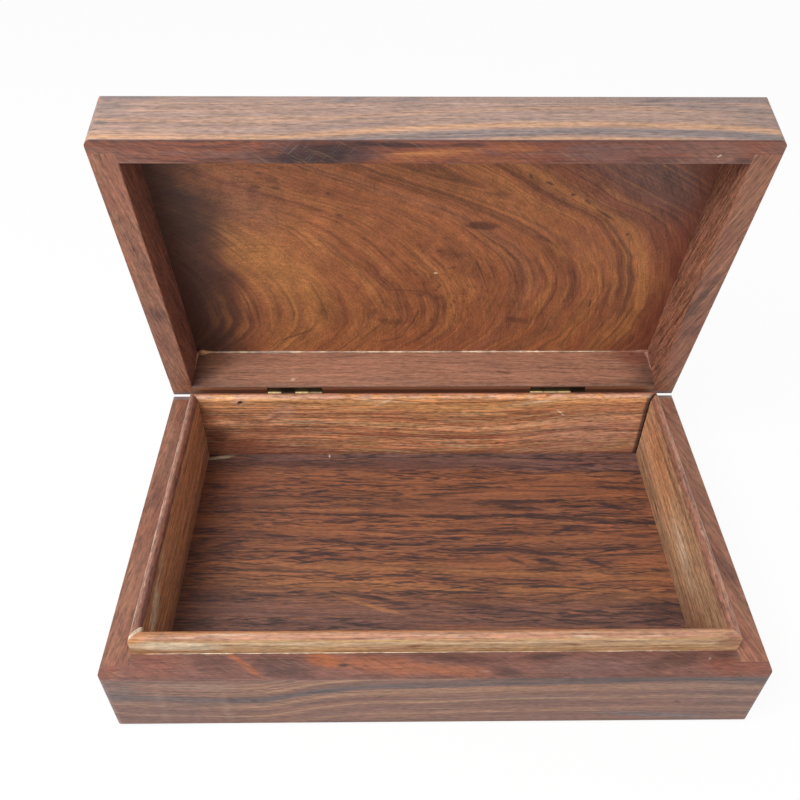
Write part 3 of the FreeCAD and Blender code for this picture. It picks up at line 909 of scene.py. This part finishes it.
def liner_front_wood():
    """Front liner: gold inside, a pink worn top and yellow sapwood outside, with thin brown lines."""
    board = Board("liner_front", False, "honey")
    x, y, z = board.x, board.y, board.z
    wander = (board.noise((34, 6, 6), detail=2, shift=2) - 0.5) * 0.9
    girth = y + (z - liner_top) * 0.7 + wander
    inner = -liner_inner_y
    pink = blend(blend("rose", "honey", 0.6), "brown", 0.2)
    dusk = blend(blend("rose", "honey", 0.5), "brown", 0.35)
    board.colour = board.ramp(girth, (
        (inner - 16, blend("olive", "brown", 0.25)),
        (inner - 10, blend(blend("olive", "honey", 0.4), "cream", 0.1)),
        (inner - 8, blend(blend("olive", "honey", 0.25), "cream", 0.3)),
        (inner - 6.4, blend(blend("olive", "rose", 0.2), "cream", 0.45)),
        (inner - 5.4, blend("olive", "brown", 0.15)), (inner - 4.6, dusk), (inner - 3.2, dusk),
        (inner - 1.8, blend(dusk, "cream", 0.2)), (inner - 1.1, pink),
        (inner - 0.3, blend("honey", "chestnut", 0.6)), (inner + 1, "chestnut"),
    ))
    along = board.vector(x, girth, z)
    board.streak("brown", along, (30, 0.8, 3), (0.46, 0.72), 0.65, 4)
    board.streak("cream", along, (20, 0.8, 3), (0.54, 0.74), 0.5, 9)
    board.streak("rose", along, (12, 2.0, 3), (0.5, 0.7), 0.35, 12)
    board.streak("brown", along, (70, 1.6, 3), (0.5, 0.66), 0.4, 21)
    board.mark(board.vector(x, girth), (
        Mark((-97, inner - 7.6), (15, 1.8), "cream", 0.75, turn=-1),
        Mark((-100, inner - 1.6), (22, 1.4), "gold", 0.6, turn=2),
        Mark((-112, inner - 4), (4, 2.4), "gold", 0.7, turn=20),
        Mark((-8, inner - 8), (3.4, 0.7), "brown", 0.7, turn=8),
        Mark((50, inner - 7.6), (5, 0.6), "brown", 0.6, turn=-6),
        Mark((106, inner - 3), (10, 2.6), "amber", 0.55, turn=14),
        Mark((111, inner - 6), (5, 3.0), "russet", 0.6, ragged=0.9),
    ))
    board.lay("brown", y.step(inner - 0.8, inner - 0.1, 0.7) * z.step(42.4, 39))
    board.lay(blend("brown", "gold", 0.4), y.step(inner - 2.6, inner - 1.4, 0.7))
    # 0.93 over the whole board, with a painted highlight: a brighter band on the outer face just below the
    # top edge.
    board.shade(0.93 + board.line(girth, inner - 6.2, 1.6, 0.2))
    return grained(board, x, y, z, 0.9)


def streaked_board():
    """Bottom board: warm brown along x, full of short nearly black flicks and a few long dark lines."""
    ground = blend("brown", "chestnut", 0.4)
    board = Board("streaked_bottom_board", False, ground)
    x, y, z = board.x, board.y, board.z
    wander = (board.noise((45, 14, 14), detail=2, shift=2) - 0.5) * 5
    feathers = board.noise((8, 0.9, 5), detail=3, at=board.vector(x, y + x * 0.2, z), shift=41)
    board.ragged = feathers * 2.2 - 0.6
    rings = y + x * 0.03 + wander
    dim = blend("brown", "mauve", 0.65)
    glow = blend("brown", "gold", 0.35)
    # The dim tone over the front part of the board, next to the front liner, is painted shade.
    board.colour = board.ramp(rings, (
        (-80, dim), (-34, dim), (-26, blend(dim, "brown", 0.5)), (-18, glow), (-14, ground),
        (-9, glow), (-4, ground), (8, "brown"), (14, ground), (20, ground), (30, "brown"),
        (36, ground), (48, ground), (52, "brown"), (56, "mauve"), (80, "mauve"),
    ))
    # Painted shade of the left liner: the left end of the board darkens.
    board.lay("umber", x.step(-60, -112, 0.45))
    along = board.vector(x, rings, z)
    board.streak("umber", along, (46, 1.0, 5), (0.46, 0.72), 0.6, 4)
    board.streak("gold", along, (50, 1.2, 5), (0.52, 0.74), 0.4, 9)
    board.streak("umber", along, (90, 4.0, 5), (0.46, 0.66), 0.5, 13)
    board.streak("ember", along, (70, 2.4, 5), (0.52, 0.7), 0.35, 33)
    rising = board.vector(x, y - x * 0.1 + wander * 0.3, z)
    falling = board.vector(x, y + x * 0.14 + wander * 0.3, z)
    dense = board.noise((60, 7, 20), detail=1, shift=15).step(0.34, 0.58)
    flicks = ((rising, (11, 1.1, 5), 21), (falling, (9, 1.0, 5), 27), (along, (20, 1.1, 5), 31))
    for at, grain, shift in flicks:
        cloud = board.noise(grain, detail=2, roughness=0.45, at=at, shift=shift)
        board.lay("ink", cloud.step(0.55, 0.66, 0.8) * dense)
    course = (
        (-110, 26), (-75, 25), (-42, 23.8), (-15, 22.6), (20, 22), (45, 22.4), (60, 21.5), (80, 19.5),
        (110, 17.4),
    )
    off = abs(y - board.curve(x, course))
    gape = x.step(-20, 90, 2.0) + 0.9
    board.lay("ink", (off / gape + board.ragged * 1.1 - 0.3).step(1.2, 0.4, 0.8))
    board.mark(board.vector(x, y), (
        Mark((95, 40), (15, 1.2), "ink", 0.85, turn=-4),
        Mark((66, 41.2), (14, 0.6), "ink", 0.7),
        Mark((28, 43.2), (9, 0.7), "ink", 0.8),
        Mark((12, 36.7), (16, 0.6), "ink", 0.75, turn=3),
        Mark((70, 35.2), (14, 0.6), "ink", 0.6, turn=3),
        Mark((42, 31), (22, 1.3), "ink", 0.8, turn=2),
        Mark((90, 28.5), (7, 1.3), "ink", 0.75, turn=-24),
        Mark((-52, 32), (8, 0.8), "ink", 0.75, turn=3),
        Mark((-51, 38.3), (4.5, 0.8), "ink", 0.75, turn=8),
        Mark((-36, 46.5), (7, 0.7), "ink", 0.75, turn=-5),
        Mark((-65, 47), (6, 0.7), "ink", 0.7, turn=-4),
        Mark((-80, 41.7), (5, 0.8), "ink", 0.7),
        Mark((-102, 41.6), (5, 0.8), "ink", 0.7),
        Mark((-46, 42), (4, 0.7), "ink", 0.7, turn=-8),
        Mark((13, 13.5), (8, 1.1), "ink", 0.75, turn=2),
        Mark((38, 12.2), (9, 1.1), "ink", 0.7, turn=6),
        Mark((62, 12.6), (4.5, 0.8), "ink", 0.7, turn=20),
        Mark((99, 10), (9, 1.0), "ink", 0.75),
        Mark((-70, 11.2), (10, 0.7), "ink", 0.8, turn=-5),
        Mark((-45, 7.8), (10, 0.9), "ink", 0.8, turn=-5),
        Mark((-12, 5.6), (17, 0.6), "ink", 0.7, turn=1),
        Mark((27, 2.4), (22, 1.0), "ink", 0.85, turn=-1),
        Mark((55, 0.2), (11, 0.7), "ink", 0.75, turn=-2),
        Mark((90, -0.8), (14, 0.8), "ink", 0.75, turn=2),
        Mark((40, -3.6), (5, 1.2), "ink", 0.7, turn=-28),
        Mark((55, -4.4), (6, 1.5), "ink", 0.75, turn=-14),
        Mark((78, -6), (6, 1.0), "ink", 0.75, turn=-24),
        Mark((-53, -4), (9, 0.7), "ink", 0.75, turn=10),
        Mark((-68, -8.8), (26, 0.7), "ink", 0.7, turn=-3),
        Mark((-30, -9.6), (4, 0.6), "ink", 0.7, turn=12),
        Mark((-14, -11.6), (9, 0.6), "ink", 0.65, turn=4),
        Mark((-27, -16), (9, 0.6), "ink", 0.6, turn=-3),
        Mark((-25, -23.4), (17, 0.9), "ink", 0.7, turn=-13),
        Mark((14, -20.8), (24, 0.6), "ink", 0.7, turn=-2),
        Mark((62, -22.4), (7, 0.8), "ink", 0.6, turn=10),
        Mark((78, -23.4), (8, 1.4), "ink", 0.5, turn=5),
        Mark((24, -28.4), (20, 1.6), "ink", 0.5, turn=-8),
        Mark((70, -31.6), (5, 1.4), "ink", 0.5, turn=6),
        # Front right corner: partly dark streaks, partly painted shade.
        Mark((102, -31), (12, 6), "ink", 0.6, turn=-8),
        Mark((-94, -23), (18, 2.2), "ink", 0.45),
        Mark((-27, -27), (17, 0.9), "gold", 0.45, turn=-19),
        Mark((-30, 57), (80, 3.0), "umber", 0.5, turn=-1),
        Mark((-104, 61.6), (6, 1.0), "cream", 0.7, turn=8, ragged=0.2),
        Mark((-48, 62.4), (0.4, 1.0), "cream", 0.7, ragged=0.1),
    ))
    board.shade(0.87)
    return grained(board, x, y, z, 0.9)


def hinge_metal(name, bright, worn=(-200, 200), gleam=1.0):
    """Brass, bright within a distance of the hinge line between two places along it, else dull."""
    board = Board(name, False, "tarnish")
    y, z = board.y - hinge_point.y, board.z - hinge_point.z
    reach = board.math("SQRT", y * y + z * z)
    rubbed = board.noise((0.4, 4, 4), detail=2)
    along = board.x.step(worn[0] - 0.1, worn[0] + 0.1) * board.x.step(worn[1] + 0.1, worn[1] - 0.1)
    board.lay("brass", reach.step(bright + 0.1, bright - 0.1, gleam) * along)
    for side in ("left", "right"):
        first, last = (corner.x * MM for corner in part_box(side + "_hinge_base_leaf"))
        for quarter in (0.25, 0.5, 0.75):
            board.lay("ink", board.line(board.x, first + (last - first) * quarter, 0.35, 0.8))
    board.shade(0.6 + rubbed * 0.8)
    return board.finish(rubbed, roughness=0.28 + rubbed * 0.25, relief=0.00002, metallic=0.45)


def opened(points):
    """Points of the shut box in millimetres, turned with the lid to where it stands open, in metres."""
    centre = np.array(hinge_point)
    return ((points - centre) @ np.array(lid_turn) + centre) / MM


def bead(name, body, path, legs, girth, material):
    """Hardened glue in an inner corner: at each point of a path a quarter disc stands between two legs.

    The quarter disc's rim is path + girth * (cos t * first leg + sin t * second leg), for t from 0 to a
    quarter turn. One more point lies a little inside the corner, so that the disc is closed, and each
    end closes to a point.
    """
    first, second = (np.array(leg, float) for leg in legs)
    turn = np.linspace(0, math.pi / 2, 7)
    rim = np.cos(turn)[:, None] * first + np.sin(turn)[:, None] * second
    disc = np.vstack([-0.15 * (first + second), rim])
    rings = path[1:-1, None, :] + girth[1:-1, None, None] * disc
    count, around = rings.shape[:2]
    points = np.vstack([rings.reshape(-1, 3), path[:1], path[-1:]])
    number = np.arange(count * around).reshape(count, around)
    here, ahead = number[:-1], number[1:]
    quads = np.stack([here, np.roll(here, -1, 1), np.roll(ahead, -1, 1), ahead], -1).reshape(-1, 4)
    start = np.stack([np.roll(number[0], -1), number[0], np.full(around, count * around)], -1)
    end = np.stack([number[-1], np.roll(number[-1], -1), np.full(around, count * around + 1)], -1)
    faces = [face.tolist() for part in (quads, start, end) for face in part]
    if np.dot(np.cross(first, second), path[-1] - path[0]) < 0:
        faces = [face[::-1] for face in faces]
    mesh = bpy.data.meshes.new(name)
    mesh.from_pydata((opened(points) if body == "lid" else points / MM).tolist(), [], faces)
    mesh.polygons.foreach_set("use_smooth", np.ones(len(faces), bool))
    mesh.materials.append(material)
    piece = bpy.data.objects.new(name, mesh)
    bpy.context.scene.collection.objects.link(piece)
    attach(piece, body)


def lumpy(along, least, most, seed):
    """Uneven girth from the least to the most, by a sum of three waves, closing to nothing at both ends."""
    place = along - along[0]
    waves = sum(np.sin(place * pace + order * seed) for order, pace in ((1, 0.31), (2, 0.83), (3, 1.7)))
    ends = np.minimum(np.abs(place), np.abs(along[-1] - along)) / 2
    return (least + (most - least) * (waves / 6 + 0.5)) * np.minimum(ends, 1)


def glue(name, in_lid):
    """Hardened glue: golden at the left end, cream along the middle, red at the right end."""
    board = Board(name, in_lid, "cream")
    board.lay("tan", board.ragged.step(0.4, 0.6, 0.7))
    board.lay("gold", board.x.step(-104, -109, 0.8))
    board.lay(blend("russet", "rose", 0.15), board.x.step(84, 106, 0.95))
    return grained(board, board.x, board.y, board.z)


class BOX_OT_lay_glue(Operator):
    """Lay the beads of hardened glue in the lid's corners and at the front liner's foot"""

    bl_idname = "hinged_box.lay_glue"
    bl_label = "Lay Glue"

    def execute(self, context):
        in_lid = glue("lid_glue", True)
        in_base = glue("rim_glue", False)
        high = lid_board_low

        run = np.linspace(-lid_inner_x, lid_inner_x, 230)
        path = np.stack([run, np.full_like(run, lid_inner_y), np.full_like(run, high)], 1)
        girth = lumpy(run, 0.25, 0.8, 1.0)
        girth += 0.45 * np.exp(-(((run + 76) / 12) ** 2)) + 1.5 * np.exp(-(((run + 112) / 3) ** 2))
        girth += 1.3 * np.exp(-(((run - 112) / 4) ** 2))
        girth *= np.where(run > 60, 0.75, 1)
        bead("lid_back_glue", "lid", path, ((0, -1, 0), (0, 0, -1)), girth, in_lid)

        drop = np.linspace(high, liner_top + 0.8, 40)
        for side, way, least, most, swell in (("left", -1, 0.15, 0.5, 0.8), ("right", 1, 0.5, 1.1, 1.8)):
            corner = np.full_like(drop, way * lid_inner_x), np.full_like(drop, lid_inner_y)
            path = np.stack([*corner, drop], 1)
            girth = lumpy(drop, least, most, 2.0) + swell * np.exp(-(((drop - high) / 3) ** 2))
            bead("lid_%s_corner_glue" % side, "lid", path, ((-way, 0, 0), (0, -1, 0)), girth, in_lid)

        run = np.linspace(4 - lid_inner_x, lid_inner_x - 4, 220)
        path = np.stack([run, np.full_like(run, -liner_outer_y), np.full_like(run, base_rim)], 1)
        girth = lumpy(run, 0.12, 0.34, 3.0) * np.interp(run, (-60, 0, 60, 100), (1, 0.6, 0.5, 1))
        bead("front_liner_glue", "base", path, ((0, -1, 0), (0, 0, 1)), girth, in_base)
        return {"FINISHED"}


class BOX_OT_dress_lid_board(Operator):
    """Dress the lid's figured board"""

    bl_idname = "hinged_box.dress_lid_board"
    bl_label = "Dress Lid Board"

    def execute(self, context):
        dress("lid_top_board", figured_board())
        return {"FINISHED"}


class BOX_OT_dress_lid_walls(Operator):
    """Dress the four walls of the lid"""

    bl_idname = "hinged_box.dress_lid_walls"
    bl_label = "Dress Lid Walls"

    def execute(self, context):
        dress("lid_front_wall", lid_front())
        inside = blend("tan", "chestnut", 0.5)
        dress("lid_back_wall", back_wall("lid_back_wall", True, inside, gap_shade=1.0))
        rim = blend(blend("brown", "tan", 0.4), "ember", 0.4)
        dark = blend(blend("russet", "mauve", 0.3), "rose", 0.08)
        marks = (Mark((14, -121), (4, 5), "umber", 0.5, turn=-20),)
        left = side_wall("lid_left_wall", True, dark, "tan", rim, tilt=0.16, shift=5, marks=marks)
        dress("lid_left_wall", left)
        light = blend(blend("chestnut", "tan", 0.4), "mauve", 0.12)
        marks = (
            Mark((26, 120), (4, 4), "umber", 0.4, turn=30),
            Mark((8, 117), (16, 2.4), "umber", 0.65, turn=-16, ragged=0.9),
        )
        right = side_wall("lid_right_wall", True, light, "tan", rim, tilt=-0.3, shift=19, marks=marks)
        dress("lid_right_wall", right)
        return {"FINISHED"}


class BOX_OT_dress_base_walls(Operator):
    """Dress the four walls of the base"""

    bl_idname = "hinged_box.dress_base_walls"
    bl_label = "Dress Base Walls"

    def execute(self, context):
        outer = blend("tan", "mauve", 0.7)
        rim = blend(blend("brown", "tan", 0.3), "ember", 0.2)
        dress("base_front_wall", base_front())
        dress("base_back_wall", back_wall("base_back_wall", False, "brown", gap_shade=0.6))
        marks = (Mark((8, -121), (5, 3), "umber", 0.5, turn=10),)
        dim = blend(rim, "umber", 0.1)
        # near below away: painted shade along the left liner's foot.
        left = side_wall(
            "base_left_wall", False, "umber", outer, dim,
            tilt=0.14, shift=33, marks=marks, near=0.76, away=0.91,
        )
        dress("base_left_wall", left)
        marks = (Mark((-30, 121), (8, 3), "umber", 0.5, turn=-24),)
        # near above away: painted light along the right liner's foot.
        right = side_wall(
            "base_right_wall", False, "russet", outer, rim,
            tilt=-0.3, shift=47, marks=marks, near=1.25, away=0.88,
        )
        dress("base_right_wall", right)
        return {"FINISHED"}


class BOX_OT_dress_liner(Operator):
    """Dress the liner boards and the shim in their corner"""

    bl_idname = "hinged_box.dress_liner"
    bl_label = "Dress Liner"

    def execute(self, context):
        dress("liner_back", liner_back_wood())
        dress("liner_front", liner_front_wood())
        dark = blend(blend("honey", "cream", 0.25), "gold", 0.3)
        marks = (
            Mark((-49, 33.5), (9, 5.0), "cream", 0.85, turn=20),
            Mark((-36, 39), (12, 1.8), "cream", 0.4, turn=6, ragged=0.6),
        )
        edge = blend(blend("brown", "mauve", 0.5), "tan", 0.15)
        left = liner_side_wood(
            "liner_left", dark, "honey", edge, gloom=0, dusk=0.85, shift=8, marks=marks
        )
        dress("liner_left", left)
        light = blend(blend("honey", "olive", 0.4), "cream", 0.3)
        marks = (
            Mark((-14, 25), (15, 4.5), "cream", 0.5, turn=8, ragged=0.8, soft=0.9),
            Mark((36, 30), (24, 9), "honey", 0.7, turn=4, soft=0.9),
            Mark((20, 38), (30, 0.9), "brown", 0.6, turn=-2, ragged=0.8),
            Mark((-50, 14), (16, 9), "brown", 0.6, soft=0.9),
        )
        edge = blend("russet", "rose", 0.25)
        right = liner_side_wood(
            "liner_right", light, "olive", edge, gloom=0.35, dusk=0.4, shift=23, marks=marks
        )
        dress("liner_right", right)
        shim = Board("corner_shim", False, "cream")
        shim.lay("tan", shim.ragged.step(0.4, 0.6, 0.6))
        dress("liner_corner_shim", grained(shim, shim.z, shim.x, shim.y))
        return {"FINISHED"}


class BOX_OT_dress_bottom_board(Operator):
    """Dress the dark streaked bottom board"""

    bl_idname = "hinged_box.dress_bottom_board"
    bl_label = "Dress Bottom Board"

    def execute(self, context):
        dress("base_bottom_board", streaked_board())
        return {"FINISHED"}


class BOX_OT_dress_hinges(Operator):
    """Dress the hinge leaves, pins and screws"""

    bl_idname = "hinged_box.dress_hinges"
    bl_label = "Dress Hinges"

    def execute(self, context):
        knuckle_reach = 2.7
        worn = hinge_metal("worn_brass", knuckle_reach)
        dull = hinge_metal("dull_brass", 0.0)
        for side in ("left", "right"):
            dress(side + "_hinge_lid_leaf", worn)
            dress(side + "_hinge_pin", worn)
        # Knuckles of the base leaves: on the left hinge dull but for a half bright last one, on the right
        # hinge bright but for a dull last one.
        left_leaf, right_leaf = (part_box(side + "_hinge_base_leaf") for side in ("left", "right"))
        knuckle = (left_leaf[1].x - left_leaf[0].x) * MM / 4
        end = left_leaf[1].x * MM
        half_bright = hinge_metal("half_worn_brass", knuckle_reach, (end - knuckle, end), gleam=0.5)
        dress("left_hinge_base_leaf", half_bright)
        end = right_leaf[1].x * MM
        part_bright = hinge_metal("part_worn_brass", knuckle_reach, (0, end - knuckle))
        dress("right_hinge_base_leaf", part_bright)
        dress("base_hinge_screws", dull)
        dress("lid_hinge_screws", dull)
        return {"FINISHED"}


class BOX_OT_dress_inlay(Operator):
    """Dress the brass strips and star and the bone pieces"""

    bl_idname = "hinged_box.dress_inlay"
    bl_label = "Dress Inlay"

    def execute(self, context):
        board = Board("inlay_brass", True, "brass")
        rubbed = board.noise((6, 0.3, 4), detail=2)
        board.shade(0.75 + rubbed * 0.5)
        brass = board.finish(rubbed, roughness=0.3 + rubbed * 0.2, relief=0.00002, metallic=1.0)
        bone_board = Board("inlay_bone", True, "bone")
        bone = grained(bone_board, bone_board.x, bone_board.y, bone_board.z, 0.25)
        for side in ("front", "right", "back", "left"):
            dress("inlay_border_" + side, brass)
        dress("inlay_star", brass)
        dress("inlay_star_eye", bone)
        for place in ("front_left", "front_right", "back_left", "back_right"):
            dress("inlay_lozenge_" + place, bone)
        return {"FINISHED"}


def camera_turn(pitch, yaw, roll):
    """Camera matrix from its rise above the horizon, its turn from +Y to +X and its roll, in degrees."""
    pitch, yaw, roll = (math.radians(angle) for angle in (pitch, yaw, roll))
    ahead = Vector((math.sin(yaw) * math.cos(pitch), math.cos(yaw) * math.cos(pitch), math.sin(pitch)))
    level = Vector((math.cos(yaw), -math.sin(yaw), 0))
    upright = level.cross(ahead)
    right = level * math.cos(roll) + upright * math.sin(roll)
    up = upright * math.cos(roll) - level * math.sin(roll)
    return Matrix((right, up, -ahead)).transposed()


def seen_rays(tree):
    """Socket that is 1 for the rays that show the background: camera, glossy and transmission."""
    path = tree.nodes.new("ShaderNodeLightPath")
    total = path.outputs["Is Camera Ray"]
    for kind in ("Is Glossy Ray", "Is Transmission Ray"):
        joined = tree.nodes.new("ShaderNodeMath")
        joined.operation = "ADD"
        joined.use_clamp = True
        tree.links.new(total, joined.inputs[0])
        tree.links.new(path.outputs[kind], joined.inputs[1])
        total = joined.outputs[0]
    return total


# Gap under the box in metres, the floor's grey, and its share of plain white for the rays that show it
FLOOR_GAP = 0.0002
FLOOR_GREY = 0.86
FLOOR_WHITE = 0.93


class BOX_OT_set_stage(Operator):
    """Set the floor, the lamp and the camera"""

    bl_idname = "hinged_box.set_stage"
    bl_label = "Set Stage"

    def execute(self, context):
        stage = context.scene.hinged_box.stage
        scene = context.scene
        scene.view_settings.view_transform = "Standard"

        world = bpy.data.worlds.new("even_light")
        scene.world = world
        world.use_nodes = True
        background = world.node_tree.nodes["Background"]
        background.inputs["Color"].default_value = (1, 1, 1, 1)
        level = world.node_tree.nodes.new("ShaderNodeMapRange")
        level.inputs["To Min"].default_value = stage.ambient
        level.inputs["To Max"].default_value = 1
        world.node_tree.links.new(seen_rays(world.node_tree), level.inputs["Value"])
        world.node_tree.links.new(level.outputs["Result"], background.inputs["Strength"])

        half = stage.floor_size / 2
        mesh = bpy.data.meshes.new("floor")
        signs = ((-1, -1), (1, -1), (1, 1), (-1, 1))
        mesh.from_pydata([(half * one, half * two, -FLOOR_GAP) for one, two in signs], [], [(0, 1, 2, 3)])
        floor = bpy.data.objects.new("floor", mesh)
        scene.collection.objects.link(floor)
        material = bpy.data.materials.new("pale_floor")
        material.use_nodes = True
        nodes = material.node_tree.nodes
        links = material.node_tree.links
        nodes.clear()
        diffuse = nodes.new("ShaderNodeBsdfDiffuse")
        diffuse.inputs["Color"].default_value = (FLOOR_GREY, FLOOR_GREY, FLOOR_GREY, 1)
        glow = nodes.new("ShaderNodeEmission")
        glow.inputs["Strength"].default_value = 1
        share = nodes.new("ShaderNodeMath")
        share.operation = "MULTIPLY"
        links.new(seen_rays(material.node_tree), share.inputs[0])
        share.inputs[1].default_value = FLOOR_WHITE
        mix = nodes.new("ShaderNodeMixShader")
        links.new(share.outputs[0], mix.inputs["Fac"])
        links.new(diffuse.outputs[0], mix.inputs[1])
        links.new(glow.outputs[0], mix.inputs[2])
        output = nodes.new("ShaderNodeOutputMaterial")
        links.new(mix.outputs[0], output.inputs["Surface"])
        mesh.materials.append(material)

        lamp = bpy.data.lights.new("key", "AREA")
        lamp.shape = "DISK"
        lamp.size = stage.key_size
        lamp.energy = stage.key_power
        key = bpy.data.objects.new("key", lamp)
        key.location = stage.key_place
        key.rotation_euler = (Vector(stage.key_aim) - key.location).to_track_quat("-Z", "Y").to_euler()
        scene.collection.objects.link(key)

        camera = bpy.data.cameras.new("camera")
        camera.sensor_width = 36
        camera.lens = stage.lens
        seat = bpy.data.objects.new("camera", camera)
        turn = camera_turn(*stage.camera_angles)
        seat.matrix_world = Matrix.Translation(stage.camera_place) @ turn.to_4x4()
        scene.collection.objects.link(seat)
        scene.camera = seat
        return {"FINISHED"}


class BOX_PT_looks(Panel):
    """List of what dresses the box"""

    bl_label = "Hinged Box"
    bl_idname = "BOX_PT_looks"
    bl_space_type = "VIEW_3D"
    bl_region_type = "UI"
    bl_category = "Hinged Box"

    def draw(self, context):
        for operator in operators:
            self.layout.operator(operator.bl_idname)
        settings = context.scene.hinged_box
        for group in (settings.tones, settings.stage):
            for name in group.__annotations__:
                self.layout.prop(group, name)


operators = (
    BOX_OT_dress_lid_board,
    BOX_OT_dress_lid_walls,
    BOX_OT_dress_base_walls,
    BOX_OT_dress_liner,
    BOX_OT_dress_bottom_board,
    BOX_OT_dress_hinges,
    BOX_OT_dress_inlay,
    BOX_OT_lay_glue,
    BOX_OT_set_stage,
)
classes = (BoxTones, BoxStage, BoxSettings, *operators, BOX_PT_looks)


def register():
    """Add the classes and the scene's settings."""
    for item in classes:
        bpy.utils.register_class(item)
    bpy.types.Scene.hinged_box = PointerProperty(type=BoxSettings)


def unregister():
    """Remove the classes and the scene's settings."""
    del bpy.types.Scene.hinged_box
    for item in reversed(classes):
        bpy.utils.unregister_class(item)


def main():
    """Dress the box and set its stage."""
    register()
    bpy.ops.hinged_box.dress_lid_board()
    bpy.ops.hinged_box.dress_lid_walls()
    bpy.ops.hinged_box.dress_base_walls()
    bpy.ops.hinged_box.dress_liner()
    bpy.ops.hinged_box.dress_bottom_board()
    bpy.ops.hinged_box.dress_hinges()
    bpy.ops.hinged_box.dress_inlay()
    bpy.ops.hinged_box.lay_glue()
    bpy.ops.hinged_box.set_stage()


if __name__ == "__main__":
    main()
